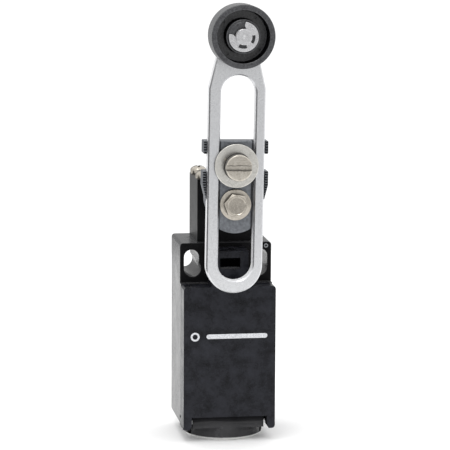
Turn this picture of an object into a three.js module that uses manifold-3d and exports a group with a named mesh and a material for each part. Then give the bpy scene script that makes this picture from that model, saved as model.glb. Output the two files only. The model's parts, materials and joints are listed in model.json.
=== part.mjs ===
// Limit switch with an adjustable roller lever: 30 mm moulded body, M20 cable entry, turning
// head and a snap-in two-pole contact block.
//
// Frame, in millimetres: +X to the right, the front faces -Y, +Z up. The origin lies on the
// back mounting face, midway between the two mounting slots. A "depth" is a distance in front
// of the back face, so depth d is the plane y = -d. Everything on the shaft is built about the
// shaft axis, and its heights are counted from that axis.

import * as THREE from 'three';
import { mergeVertices } from 'three/addons/utils/BufferGeometryUtils.js';
import Module from 'manifold-3d';

// ---------------------------------------------------------------- driving dimensions

const body = {
  halfWidth: 15, // body and cover are 30 wide
  flangeTop: 6.6, // top of the mounting flange
  coverTop: -6.4, // the flange stands 13 above the cover
  bottom: -53.4,
  flangeDepth: 20.7,
  seamDepth: 23, // where the cover meets the base
  coverDepth: 30,
  wall: 2.5,
  corner: 1,
  cavityTop: -8.4,
  cavityBottom: -46.4,
  earTop: -50.2, // the base steps back below this, for the hinge ears of the cover
};

const gap = 0.05; // between pieces that touch in use

const slot = { x: 11.25, top: 2, bottom: -1.85, radius: 2.42, lobeX: 10.87, lobeZ: -1.75, lobeRadius: 2.75 };

const entry = {
  depth: 15, // the entry is centred in the thickness of the body
  collarRadius: 13,
  collarBottom: -56.7,
  threadRadius: 10.3,
  threadTop: -50.7,
  passageRadius: 7.8,
  blockHalfWidth: 11.6,
  blockDepth: 27.8,
  blockTop: -49.7,
  ringRadius: 12,
  ringBore: 9.25,
  ringBottom: -57.7,
};

const cover = {
  back: 23.3,
  inside: 28.2,
  innerHalfWidth: 12.8,
  innerTop: -8.4,
  innerBottom: -47.6,
  cutHalfWidth: 12.3, // cut-out that clears the entry block
  cutTop: -49.3,
  earTop: -50.8,
  earBack: 21,
  earChamfer: [0.7, 1.4],
  tongueHalfWidth: 6,
  tongueTop: 5.3,
  windowHalfWidth: 3.3,
  window: [-0.6, 3],
  windowFloor: 24.9,
  gasket: { outer: 14.35, inner: 13.25, top: -6.95, bottom: -49.0, width: 1.1, depth: [23.1, 23.75] },
};

const hingePin = { depth: 25.9, z: -51.5, radius: 0.95, x: [8.8, 14.2], boreEnd: 13 };

const head = {
  halfWidth: 9,
  depth: 18,
  top: 27,
  cavityHalfWidth: 7.4,
  cavityDepth: [4.6, 13.1],
  cavityTop: 25.7,
  bossRadius: 5.5,
  bossDepth: 22,
  gasketHalfWidth: 8.2,
  gasketDepth: [0.8, 17.2],
  gasketTop: 7.1,
};

const headScrew = {
  x: 6.5,
  depths: [2.9, 14.8],
  headRadius: 2.65,
  headHeight: 2.6,
  shank: 1.25,
  tip: 2,
  recess: { halfWidth: 0.35, reach: 1.7, depth: 1 },
};

const shaft = {
  z: 21.8,
  radius: 3,
  rear: 1.9,
  front: 31,
  flat: 2.2,
  flatFrom: 22.6,
  boreRadius: 2.1,
  boreFrom: 19,
};
const bush = { radius: 4.15, depth: [13.2, 20.2] };
const seal = { radius: 4.5, depth: [20.5, 21.9] };
const cam = { depth: [7.2, 12.8], hubRadius: 3.6, lobeRadius: 5.5, lobeAngle: 46 };
const spline = { teeth: 36, root: 5.4, tip: 6, depth: [22.9, 30.8] };
const torsion = { wire: 0.3, depth: [5.1, 6.8], turns: 2.5, legDrops: [-9, -4.5] };
const restAngle = 0.8; // degrees that the lever leans to the right at rest, inside the spring's play

const carrier = {
  back: 22.6,
  plateBack: 34,
  channelFloor: 36, // the limbs of the lever lie in two upright channels
  front: 39.5,
  tongueHalfWidth: 5.1, // stands inside the slot of the lever
  cheekFrom: 9.3, // the cheeks stand outside the lever
  backHubRadius: 7.8,
  hubRadius: 9.3,
  wingHalfWidth: 10.45,
  wingTop: 10.6,
  wingFoot: 6.1,
  wingTaper: 14, // degrees
  neckHalfWidth: 6.8,
  barHalfWidth: 10.3,
  barBottom: 16.1,
  barTop: 20.2,
  serrationPitch: 0.8,
  serrationDepth: 0.35,
};

const lever = {
  depth: [carrier.channelFloor + gap, 40],
  halfWidth: 9,
  slotX: 0.35, // the slot lies a little to the right, so the left limb is the wider one
  slotHalfWidth: 5.6,
  slotBottom: -24.5,
  slotTop: 41,
  bottom: -28.4,
  shoulder: 36.8, // straight flanks run from here to the round tip
  tipRadius: 4.9,
};

const clamp = {
  z: 12.45,
  washer: { radius: 7, bore: 2.7, depth: [40.05, 41.25] },
  lock: { radius: 4.4, bore: 2.7, depth: [41.3, 43.1], split: 0.8, splitAngle: 150 },
  head: { radius: 4.2, seat: 43.15, face: 46.55, edge: 0.5, slotWidth: 1.3, slotDepth: 1.2 },
  shank: 2.4,
  tail: 30,
  nut: { acrossFlats: 8, depth: [30.6, 33.95], bore: 2.5, turn: 30 },
};

const hubScrew = {
  flangeRadius: 5,
  flange: [39.55, 40.7],
  flangeEdge: 0.55,
  hexFlats: 7,
  hexTop: 43,
  domeEdge: [0.45, 0.7],
  shank: 2,
  tail: 21,
  turn: 40,
};

const roller = {
  z: 53.8,
  radius: 10,
  depth: [41, 50],
  rimRadius: 8.2,
  hubRadius: 5.4,
  hubFront: 49.2,
  web: [42, 44.5],
  edge: 0.6,
  bore: 3.45,
  lipBore: 2.65, // a lip in front of the bush
  lipBack: 48.7,
  pits: { count: 4, at: 7.1, radius: 0.5, depth: 0.6, from: 52 },
};

const axle = {
  radius: 2.5,
  rivetRadius: 3.6,
  rivet: [34.9, 36],
  rivetEdge: [0.6, 0.5],
  tip: 51,
  chamfer: 0.35,
  groove: [49.3, 50.1],
  grooveRadius: 1.9,
};
const rollerBush = { outer: 3.4, bore: 2.56, depth: [41.1, 48.6] };
const rollerWasher = { outer: 4.2, bore: 2.6, depth: [40.1, 40.9] };
const clip = {
  outer: 4.7,
  lug: 2,
  relief: 3.1,
  depth: [49.4, 50],
  opening: [87, 169], // degrees
  reliefs: [[8, -34], [-75, -117]],
};

const plunger = {
  depth: 9,
  stem: 2,
  tip: -11,
  headRadius: 3.4,
  head: [14, 16],
  guide: 2.25,
  pocketRadius: 3.9,
  pocketFloor: 0,
  spring: { radius: 2.95, wire: 0.35, turns: 6 },
};

const contacts = {
  halfWidth: 11,
  depth: [3, 15],
  z: [-42.6, -10],
  chamberHalfWidth: 3.6,
  chamber: [-40, -12.6],
  chamberBack: 6,
  pocketHalfWidth: 9.6,
  upperPocket: [-21.6, -16.3],
  lowerPocket: [-31.2, -25.8],
  slide: { halfWidth: 3.2, depth: [6.4, 14.4], z: [-31, -13.2], stem: 2.3, stemTop: -11.2, window: 0.2 },
  spring: { radius: 2.2, wire: 0.35, turns: 5, depth: 9.2 },
  bridge: { halfWidth: 8.8, depth: [7.8, 10.4], thickness: 0.8, upper: -18, lower: -27 },
  button: { x: 7.6, radius: 1, height: 0.4 },
  strip: { x: [5, 9.4], headX: 10.8, thickness: 0.7, upper: -17.1, lower: -31.15, face: [15.05, 15.85] },
  stripEnd: { upper: -10.6, lower: -37 },
  retainer: { halfWidth: 4.4, z: [-41, -11] },
  terminal: { x: 7.9, upper: -13.4, lower: -34.6, bore: 1.5, boreFloor: 6 },
  terminalClamp: { halfWidth: 2.7, halfHeight: 2.5, depth: [15.95, 16.85], bore: 1.6 },
  terminalScrew: { seat: 16.9, tail: 7, shank: 1.4 },
  fixing: { x: 8, z: -40, post: 2.4, bore: 1.4, pilot: 1.35, pilotFloor: 0.9 },
  blockScrew: { tail: 1.2, shank: 1.3 },
};

const slotted = { headRadius: 2.5, headHeight: 1.8, slotFloor: 0.9, slotHalf: 0.35 }; // small screws

// ---------------------------------------------------------------- solids

const wasm = await Module();
wasm.setup();

// Turns a closed three.js geometry into a solid that can be joined and cut.
function solid(geometry) {
  geometry.deleteAttribute('normal');
  geometry.deleteAttribute('uv');
  const merged = mergeVertices(geometry, 1e-5);
  return new wasm.Manifold(new wasm.Mesh({
    numProp: 3,
    vertProperties: new Float32Array(merged.attributes.position.array),
    triVerts: new Uint32Array(merged.index.array),
  }));
}

function toGeometry(shape) {
  const { vertProperties, triVerts } = shape.getMesh();
  const geometry = new THREE.BufferGeometry();
  geometry.setAttribute('position', new THREE.BufferAttribute(new Float32Array(vertProperties), 3));
  geometry.setIndex(new THREE.BufferAttribute(new Uint32Array(triVerts), 1));
  return geometry;
}

const middle = ([low, high]) => (low + high) / 2;
const length = ([low, high]) => high - low;
const radians = THREE.MathUtils.degToRad;

// Block between two values of x, of depth and of z.
function block(x, depth, z) {
  const geometry = new THREE.BoxGeometry(length(x), length(depth), length(z));
  return solid(geometry.translate(middle(x), -middle(depth), middle(z)));
}

// Round bar from front to back, centred on x and z.
function barY(radius, depth, x = 0, z = 0, sides = 24) {
  const geometry = new THREE.CylinderGeometry(radius, radius, length(depth), sides);
  return solid(geometry.translate(x, -middle(depth), z));
}

// Upright round bar, centred on x and depth.
function barZ(radius, z, x = 0, depth = 0, sides = 24) {
  const geometry = new THREE.CylinderGeometry(radius, radius, length(z), sides).rotateX(Math.PI / 2);
  return solid(geometry.translate(x, -depth, middle(z)));
}

// Round bar from left to right, centred on depth and z.
function barX(radius, x, depth, z, sides = 12) {
  const geometry = new THREE.CylinderGeometry(radius, radius, length(x), sides).rotateZ(Math.PI / 2);
  return solid(geometry.translate(middle(x), -depth, z));
}

// Outline in x and z, made as thick as the two depths say.
function plate(outline, depth, curveSegments = 8) {
  const options = { depth: length(depth), bevelEnabled: false, curveSegments };
  return solid(new THREE.ExtrudeGeometry(outline, options).rotateX(Math.PI / 2).translate(0, -depth[0], 0));
}

// Solid of revolution about a front-to-back axis. The profile lists [radius, depth] from the
// front of the axis to the back of it, or runs round a ring with its bore first.
function turned(profile, z = 0, sides = 36) {
  const points = profile.map(([radius, depth]) => new THREE.Vector2(radius, -depth));
  return solid(new THREE.LatheGeometry(points, sides).translate(0, 0, z));
}

const ring = (outer, bore, depth, x = 0, z = 0, sides = 24) =>
  barY(outer, depth, x, z, sides).subtract(barY(bore, [depth[0] - 1, depth[1] + 1], x, z, sides));

// Six-sided bar from front to back; turn 0 has flats to the left and right.
function hexBar(acrossFlats, depth, z, turn) {
  const corner = acrossFlats / Math.sqrt(3);
  const geometry = new THREE.CylinderGeometry(corner, corner, length(depth), 6);
  return solid(geometry.rotateY(radians(turn)).translate(0, -middle(depth), z));
}

// Round wire bent along a curve.
function wire(points, radius, steps) {
  const section = new THREE.Shape().absarc(0, 0, radius, 0, 2 * Math.PI);
  const extrudePath = new THREE.CatmullRomCurve3(points);
  return solid(new THREE.ExtrudeGeometry(section, { steps, curveSegments: 3, extrudePath }));
}

// Points of a coil: place() maps an angle and a share of the length to a point.
function coilPoints(turns, place, perTurn = 10) {
  const count = Math.round(turns * perTurn);
  return Array.from({ length: count + 1 }, (_, i) => place((2 * Math.PI * i) / perTurn, i / count));
}

// Upright compression spring round the axis at x = 0 and the given depth.
function pressureSpring({ radius, wire: wireRadius, turns }, z, depth) {
  const low = z[0] + wireRadius;
  const rise = length(z) - 2 * wireRadius;
  const place = (angle, share) =>
    new THREE.Vector3(radius * Math.cos(angle), radius * Math.sin(angle) - depth, low + rise * share);
  const points = coilPoints(turns, place);
  return wire(points, wireRadius, points.length - 1);
}

function roundedRectangle(halfWidth, z, radius) {
  const outline = new THREE.Shape();
  outline.absarc(halfWidth - radius, z[0] + radius, radius, -Math.PI / 2, 0);
  outline.absarc(halfWidth - radius, z[1] - radius, radius, 0, Math.PI / 2);
  outline.absarc(radius - halfWidth, z[1] - radius, radius, Math.PI / 2, Math.PI);
  outline.absarc(radius - halfWidth, z[0] + radius, radius, Math.PI, 1.5 * Math.PI);
  return outline;
}

// Same shape on the left and on the right.
const bothSides = (make) => make(1).add(make(-1));
const span = (side, from, to) => (side > 0 ? [from, to] : [-to, -from]);

// ---------------------------------------------------------------- scene graph

const finishes = {
  blackNylon: { color: 0x26262a, roughness: 0.55, metalness: 0 },
  blackAcetal: { color: 0x1c1c1e, roughness: 0.4, metalness: 0 },
  slateCasting: { color: 0x6e7276, roughness: 0.5, metalness: 0.6 },
  tumbledSteel: { color: 0xc9cacc, roughness: 0.42, metalness: 0.9 },
  nickel: { color: 0xb9b3a6, roughness: 0.35, metalness: 1 },
  springSteel: { color: 0xa9abae, roughness: 0.3, metalness: 1 },
  bronze: { color: 0xb08a4a, roughness: 0.45, metalness: 1 },
  brass: { color: 0xc9a24f, roughness: 0.35, metalness: 1 },
  rubber: { color: 0x161616, roughness: 0.85, metalness: 0 },
  paleNylon: { color: 0xdedfdd, roughness: 0.5, metalness: 0 },
  greyMoulding: { color: 0x8b8d90, roughness: 0.6, metalness: 0 },
};

const group = new THREE.Group();
const onShaft = new THREE.Group();
onShaft.position.z = shaft.z;
onShaft.rotation.y = radians(restAngle);
group.add(onShaft);

function addPart(name, shape, finish, parent = group) {
  const mesh = new THREE.Mesh(toGeometry(shape), new THREE.MeshStandardMaterial(finishes[finish]));
  mesh.name = name;
  parent.add(mesh);
}

// ---------------------------------------------------------------- base and cable entry

// Upright slot, widened at its foot by a larger round lobe that lies nearer the middle.
function mountingSlot(side) {
  const through = [-1, body.flangeDepth + 1];
  const x = side * slot.x;
  const lobe = barY(slot.lobeRadius, through, side * slot.lobeX, slot.lobeZ);
  return block([x - slot.radius, x + slot.radius], through, [slot.bottom, slot.top])
    .add(barY(slot.radius, through, x, slot.top))
    .add(barY(slot.radius, through, x, slot.bottom))
    .add(lobe);
}

// Four upright holes for the head screws, wider than their shanks by the slack.
const headScrewHoles = (slack, z) => bothSides((side) => headScrew.depths
  .map((depth) => barZ(headScrew.shank + slack, z, side * headScrew.x, depth, 10))
  .reduce((all, hole) => all.add(hole)));

function baseHousing() {
  const { halfWidth, wall } = body;
  const innerHalfWidth = halfWidth - wall;
  const outline = roundedRectangle(halfWidth, [body.bottom, body.flangeTop], body.corner);
  const rimDepth = [body.flangeDepth - 1, body.seamDepth];
  const rim = block([-halfWidth, halfWidth], rimDepth, [body.earTop, body.coverTop]);
  const entryBlock = block(
    [-entry.blockHalfWidth, entry.blockHalfWidth],
    [body.flangeDepth - 1, entry.blockDepth],
    [body.bottom, entry.blockTop],
  );
  const collar = barZ(entry.collarRadius, [entry.collarBottom, body.bottom + 1], 0, entry.depth, 36);
  const cavityDepth = [wall, body.seamDepth + 1];
  const cavity = block([-innerHalfWidth, innerHalfWidth], cavityDepth, [body.cavityBottom, body.cavityTop]);
  const thread = barZ(entry.threadRadius, [entry.collarBottom - 1, entry.threadTop], 0, entry.depth, 36);
  const passage = barZ(entry.passageRadius, [entry.threadTop - 1, body.cavityBottom + 1], 0, entry.depth, 36);
  const guide = barZ(plunger.guide, [body.cavityTop - 1, 1], 0, plunger.depth, 24);
  const pocketZ = [plunger.pocketFloor, body.flangeTop + 1];
  const springPocket = barZ(plunger.pocketRadius, pocketZ, 0, plunger.depth);
  const { fixing, depth: [blockBack] } = contacts;
  const fixingPost = (side) => barY(fixing.post, [wall - 1, blockBack - gap], side * fixing.x, fixing.z, 20);
  const pilotDepth = [fixing.pilotFloor, blockBack + 1];
  const fixingHole = (side) => barY(fixing.pilot, pilotDepth, side * fixing.x, fixing.z, 16);
  const pinBore = (side) => span(side, hingePin.x[0] - 0.2, hingePin.boreEnd);
  const pinHole = (side) => barX(hingePin.radius + 0.15, pinBore(side), hingePin.depth, hingePin.z);

  return plate(outline, [0, body.flangeDepth], 2)
    .add(rim)
    .add(entryBlock)
    .add(collar)
    .subtract(cavity)
    .add(bothSides(fixingPost))
    .subtract(thread)
    .subtract(passage)
    .subtract(guide)
    .subtract(springPocket)
    .subtract(bothSides(mountingSlot))
    .subtract(bothSides(fixingHole))
    .subtract(bothSides(pinHole))
    .subtract(headScrewHoles(0.08, [headScrew.tip - 0.4, body.flangeTop + 1]));
}

// Flanged ring that lines the thread of the cable entry.
function entryRing() {
  const sleeveZ = [entry.ringBottom, entry.threadTop - 0.2];
  const sleeve = barZ(entry.threadRadius - 0.3, sleeveZ, 0, entry.depth, 36);
  const lip = barZ(entry.ringRadius, [entry.ringBottom, entry.collarBottom - gap], 0, entry.depth, 36);
  const bore = barZ(entry.ringBore, [entry.ringBottom - 1, entry.threadTop + 1], 0, entry.depth, 36);
  return sleeve.add(lip).subtract(bore);
}

addPart('base_housing', baseHousing(), 'blackNylon');
addPart('entry_ring', entryRing(), 'paleNylon');

// ---------------------------------------------------------------- cover

// Rectangular seal that lies in a groove in the back of the cover.
function gasketRing({ outer, top, bottom, width, depth }, slack) {
  const frame = block([-outer - slack, outer + slack], depth, [bottom - slack, top + slack]);
  const innerX = outer - width - slack;
  const through = [depth[0] - 1, depth[1] + 1];
  return frame.subtract(block([-innerX, innerX], through, [bottom + width + slack, top - width - slack]));
}

// Wedge that takes the lower inner corner off an ear.
function earChamfer(side) {
  const [across, up] = cover.earChamfer;
  const corner = new THREE.Shape();
  corner.moveTo(side * (cover.cutHalfWidth - 1), body.bottom - 1);
  corner.lineTo(side * (cover.cutHalfWidth + across), body.bottom - 1);
  corner.lineTo(side * (cover.cutHalfWidth + across), body.bottom);
  corner.lineTo(side * cover.cutHalfWidth, body.bottom + up);
  corner.lineTo(side * (cover.cutHalfWidth - 1), body.bottom + up);
  return plate(corner, [cover.earBack - 1, body.coverDepth + 1]);
}

function coverShell() {
  const { halfWidth, coverDepth } = body;
  const inner = cover.innerHalfWidth;
  const outline = roundedRectangle(halfWidth, [body.bottom, body.coverTop], body.corner);
  const earDepth = [cover.earBack, coverDepth - 1];
  const earZ = [body.bottom, cover.earTop];
  const ear = (side) => block(span(side, cover.cutHalfWidth, halfWidth), earDepth, earZ);
  const tongueX = [-cover.tongueHalfWidth, cover.tongueHalfWidth];
  const tongue = block(tongueX, [cover.earBack, coverDepth], [body.coverTop, cover.tongueTop]);
  const tongueRoot = block(tongueX, [cover.back, coverDepth], [cover.innerTop, body.coverTop]);
  const hollow = block([-inner, inner], [cover.back - 1, cover.inside], [cover.innerBottom, cover.innerTop]);
  const cutOut = block(
    [-cover.cutHalfWidth, cover.cutHalfWidth],
    [cover.earBack - 1, coverDepth + 1],
    [body.bottom - 1, cover.cutTop],
  );
  const windowX = [-cover.windowHalfWidth, cover.windowHalfWidth];
  const window = block(windowX, [cover.windowFloor, coverDepth + 1], cover.window);
  const pinBore = (side) => span(side, cover.cutHalfWidth - 1, hingePin.x[1] + 0.1);
  const pinHole = (side) => barX(hingePin.radius + gap, pinBore(side), hingePin.depth, hingePin.z);
  const grooveDepth = [cover.back - 1, cover.gasket.depth[1] + gap];

  return plate(outline, [cover.back, coverDepth], 2)
    .add(bothSides(ear))
    .add(tongue)
    .add(tongueRoot)
    .subtract(hollow)
    .subtract(cutOut)
    .subtract(window)
    .subtract(bothSides(pinHole))
    .subtract(bothSides(earChamfer))
    .subtract(gasketRing({ ...cover.gasket, depth: grooveDepth }, 0.1));
}

addPart('cover_shell', coverShell(), 'blackNylon');
addPart('cover_gasket', gasketRing(cover.gasket, 0), 'rubber');
for (const [name, side] of [['hinge_pin_left', -1], ['hinge_pin_right', 1]]) {
  addPart(name, barX(hingePin.radius, span(side, ...hingePin.x), hingePin.depth, hingePin.z), 'springSteel');
}

// ---------------------------------------------------------------- head

function headHousing() {
  const { halfWidth, cavityHalfWidth, cavityDepth } = head;
  const gasketDepth = [head.gasketDepth[0] - 0.15, head.gasketDepth[1] + 0.15];
  const gasketX = head.gasketHalfWidth + 0.15;
  return block([-halfWidth, halfWidth], [0, head.depth], [body.flangeTop, head.top])
    .add(barY(head.bossRadius, [head.depth - 1, head.bossDepth], 0, shaft.z, 32))
    .subtract(block([-cavityHalfWidth, cavityHalfWidth], cavityDepth, [body.flangeTop - 1, head.cavityTop]))
    .subtract(block([-gasketX, gasketX], gasketDepth, [body.flangeTop - 1, head.gasketTop + gap]))
    .subtract(barY(shaft.radius + 0.1, [shaft.rear - 0.3, cavityDepth[0] + 1], 0, shaft.z))
    .subtract(barY(bush.radius + gap, [cavityDepth[1] - 1, seal.depth[0] - 0.1], 0, shaft.z))
    .subtract(barY(seal.radius + gap, [seal.depth[0] - 0.1, head.bossDepth + 1], 0, shaft.z))
    .subtract(headScrewHoles(0.2, [body.flangeTop - 1, head.top + 1]));
}

function headGasket() {
  const sheetX = [-head.gasketHalfWidth, head.gasketHalfWidth];
  const openingX = [-head.cavityHalfWidth, head.cavityHalfWidth];
  const height = [body.flangeTop + gap, head.gasketTop];
  return block(sheetX, head.gasketDepth, height)
    .subtract(block(openingX, head.cavityDepth, [body.flangeTop - 1, head.gasketTop + 1]))
    .subtract(headScrewHoles(0.2, [body.flangeTop - 1, head.gasketTop + 1]));
}

// Long pan-head screw with a cross slot, pointing down.
function headScrewSolid(x, depth) {
  const top = head.top + headScrew.headHeight;
  const { halfWidth, reach, depth: recessDepth } = headScrew.recess;
  const band = [top - recessDepth, top + 1];
  return barZ(headScrew.headRadius, [head.top + 0.02, top], x, depth, 20)
    .add(barZ(headScrew.shank, [headScrew.tip, head.top + 1], x, depth, 10))
    .subtract(block([x - halfWidth, x + halfWidth], [depth - reach, depth + reach], band))
    .subtract(block([x - reach, x + reach], [depth - halfWidth, depth + halfWidth], band));
}

addPart('head_housing', headHousing(), 'blackNylon');
addPart('head_gasket', headGasket(), 'rubber');
[[-1, 0], [1, 0], [-1, 1], [1, 1]].forEach(([side, row], index) => {
  addPart(`head_screw_${index + 1}`, headScrewSolid(side * headScrew.x, headScrew.depths[row]), 'nickel');
});
addPart('shaft_bush', ring(bush.radius, shaft.radius + gap, bush.depth, 0, shaft.z), 'bronze');
addPart('shaft_seal', ring(seal.radius, shaft.radius + gap, seal.depth, 0, shaft.z), 'rubber');

// ---------------------------------------------------------------- shaft, cam and return spring

// Cuts a round bar to a D from the depth where the hub starts.
function dFlat(slack) {
  const reach = shaft.radius + 2;
  return block([shaft.flat + slack, reach], [shaft.flatFrom, shaft.front + 1], [-reach, reach]);
}

function shaftBar() {
  return barY(shaft.radius, [shaft.rear, shaft.front])
    .subtract(dFlat(0))
    .subtract(barY(shaft.boreRadius, [shaft.boreFrom, shaft.front + 1], 0, 0, 24));
}

// Round hub that opens into two lobes below the axis, with a flat between them.
function camPlate() {
  const lobe = radians(cam.lobeAngle);
  const lobeX = cam.lobeRadius * Math.sin(lobe);
  const lobeZ = -cam.lobeRadius * Math.cos(lobe);
  const outline = new THREE.Shape();
  outline.moveTo(lobeX, lobeZ);
  outline.absarc(0, 0, cam.hubRadius, 0, Math.PI);
  outline.lineTo(-lobeX, lobeZ);
  const bore = barY(shaft.radius + gap, [cam.depth[0] - 1, cam.depth[1] + 1]);
  return plate(outline, cam.depth, 8).subtract(bore);
}

// Gear-like outline with straight-sided teeth, widened all round by the slack.
function splineOutline(slack) {
  const outline = new THREE.Shape();
  for (let i = 0; i < 2 * spline.teeth; i += 1) {
    const angle = (Math.PI * i) / spline.teeth;
    const radius = (i % 2 ? spline.root : spline.tip) + slack;
    const put = i === 0 ? 'moveTo' : 'lineTo';
    outline[put](radius * Math.cos(angle), radius * Math.sin(angle));
  }
  return outline;
}

function splineHub() {
  const bore = barY(shaft.radius + gap, [spline.depth[0] - 1, spline.depth[1] + 1]).subtract(dFlat(gap));
  return plate(splineOutline(0), spline.depth).subtract(bore);
}

// Torsion spring behind the cam, with one leg down the wall of the head.
function returnSpring() {
  const { wire: wireRadius, depth, turns, legDrops } = torsion;
  const meanRadius = shaft.radius + 0.15 + wireRadius;
  const place = (angle, share) => new THREE.Vector3(
    meanRadius * Math.cos(angle),
    -(depth[0] + length(depth) * share),
    shaft.z + meanRadius * Math.sin(angle),
  );
  const points = coilPoints(turns, place);
  const start = points[0];
  const leg = legDrops.map((drop) => new THREE.Vector3(start.x + 0.1, start.y, start.z + drop));
  return wire([...leg, ...points], wireRadius, points.length + 6);
}

addPart('return_spring', returnSpring(), 'springSteel');
addPart('shaft', shaftBar(), 'springSteel', onShaft);
addPart('cam', camPlate(), 'brass', onShaft);
addPart('spline_hub', splineHub(), 'springSteel', onShaft);

// ---------------------------------------------------------------- lever carrier and its screws

// Front outline: round foot, two wings that widen upwards, a neck and a cross bar.
function carrierOutline() {
  const taper = Math.tan(radians(carrier.wingTaper));
  const waist = carrier.wingHalfWidth - taper * carrier.wingFoot; // wing edge, carried on to the axis
  const footAngle = Math.acos(waist * Math.cos(Math.atan(taper)) / carrier.hubRadius) + Math.atan(taper);
  const joinX = carrier.hubRadius * Math.cos(footAngle);
  const joinZ = -carrier.hubRadius * Math.sin(footAngle);
  const half = [
    [joinX, joinZ],
    [carrier.wingHalfWidth, carrier.wingFoot],
    [carrier.wingHalfWidth, carrier.wingTop],
    [carrier.neckHalfWidth, carrier.wingTop],
    [carrier.neckHalfWidth, carrier.barBottom],
    [carrier.barHalfWidth, carrier.barBottom],
    [carrier.barHalfWidth, carrier.barTop],
  ];
  const outline = new THREE.Shape();
  outline.absarc(0, 0, carrier.hubRadius, Math.PI + footAngle, 2 * Math.PI - footAngle);
  half.forEach(([x, z]) => outline.lineTo(x, z));
  half.reverse().forEach(([x, z]) => outline.lineTo(-x, z));
  return outline;
}

// Level V grooves across the cheeks of the wings and of the cross bar.
function serrations(side) {
  const { serrationPitch: pitch, serrationDepth: deep, front } = carrier;
  const across = span(side, carrier.cheekFrom - 0.3, carrier.wingHalfWidth + 1);
  const bands = [[carrier.wingFoot, carrier.wingTop], [carrier.barBottom, carrier.barTop]];
  const corners = [[0, -pitch / 2], [deep, 0], [0, pitch / 2], [-1, pitch / 2], [-1, -pitch / 2]];
  const section = new THREE.Shape(corners.map(([inward, up]) => new THREE.Vector2(inward - front, up)));
  const grooves = bands.flatMap(([low, high]) => {
    const count = Math.round((high - low) / pitch);
    return Array.from({ length: count }, (_, i) => low + (i + 0.5) * ((high - low) / count));
  });
  const groove = (z) => {
    const geometry = new THREE.ExtrudeGeometry(section, { depth: length(across), bevelEnabled: false });
    geometry.rotateX(Math.PI / 2).rotateZ(Math.PI / 2);
    return solid(geometry.translate(across[0], 0, z));
  };
  return grooves.map(groove).reduce((all, next) => all.add(next));
}

function leverCarrier() {
  const { back, plateBack, channelFloor, front, tongueHalfWidth, cheekFrom } = carrier;
  const height = [-carrier.hubRadius - 1, carrier.barTop + 1];
  const channel = (side) => block(span(side, tongueHalfWidth, cheekFrom), [channelFloor, front + 1], height);
  return plate(carrierOutline(), [plateBack, front], 10)
    .subtract(bothSides(channel))
    .add(barY(carrier.backHubRadius, [back, plateBack + 1], 0, 0, 32))
    .subtract(plate(splineOutline(0.25), [back - 1, shaft.front + 0.2]))
    .subtract(barY(hubScrew.shank + 0.2, [shaft.front - 1, front + 1], 0, 0, 24))
    .subtract(barY(clamp.shank + 0.2, [plateBack - 1, front + 1], 0, clamp.z, 24))
    .subtract(bothSides(serrations));
}

// Hexagon screw with a pressed-on round flange and a domed top.
function hexFlangeScrew() {
  const { flangeRadius, flange: [seat, flangeTop], flangeEdge, hexFlats, hexTop, domeEdge } = hubScrew;
  const corner = hexFlats / Math.sqrt(3);
  const [domeIn, domeDown] = domeEdge;
  const dome = turned([
    [0, hexTop], [hexFlats / 2 - domeIn, hexTop], [corner, hexTop - domeDown], [corner, seat], [0, seat],
  ], 0, 36);
  const rim = turned([
    [0, flangeTop], [corner, flangeTop], [flangeRadius, seat + flangeEdge], [flangeRadius, seat], [0, seat],
  ], 0, 32);
  return hexBar(hexFlats, [seat, hexTop], 0, hubScrew.turn)
    .intersect(dome)
    .add(rim)
    .add(barY(hubScrew.shank, [hubScrew.tail, seat + 0.5], 0, 0, 20));
}

function clampScrew() {
  const { head: { radius, seat, face, edge, slotWidth, slotDepth }, shank, tail, z } = clamp;
  const slotZ = [z - slotWidth / 2, z + slotWidth / 2];
  return turned([[0, face], [radius - edge, face], [radius, face - edge], [radius, seat], [0, seat]], z, 32)
    .add(barY(shank, [tail, seat + 0.5], 0, z, 24))
    .subtract(block([-radius - 1, radius + 1], [face - slotDepth, face + 1], slotZ));
}

// Spring washer with one narrow split.
function lockWasher() {
  const { radius, bore, depth, split, splitAngle } = clamp.lock;
  const cut = block([0, radius + 1], [depth[0] - 1, depth[1] + 1], [-split / 2, split / 2])
    .rotate([0, -splitAngle, 0])
    .translate([0, 0, clamp.z]);
  return ring(radius, bore, depth, 0, clamp.z, 28).subtract(cut);
}

const clampNut = () => hexBar(clamp.nut.acrossFlats, clamp.nut.depth, clamp.z, clamp.nut.turn)
  .subtract(barY(clamp.nut.bore, [clamp.nut.depth[0] - 1, clamp.nut.depth[1] + 1], 0, clamp.z, 24));

const clampWasher = () => ring(clamp.washer.radius, clamp.washer.bore, clamp.washer.depth, 0, clamp.z, 36);

addPart('lever_carrier', leverCarrier(), 'slateCasting', onShaft);
addPart('hub_screw', hexFlangeScrew(), 'nickel', onShaft);
addPart('clamp_washer', clampWasher(), 'nickel', onShaft);
addPart('lock_washer', lockWasher(), 'springSteel', onShaft);
addPart('clamp_screw', clampScrew(), 'nickel', onShaft);
addPart('clamp_nut', clampNut(), 'nickel', onShaft);

// ---------------------------------------------------------------- lever and roller

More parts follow.
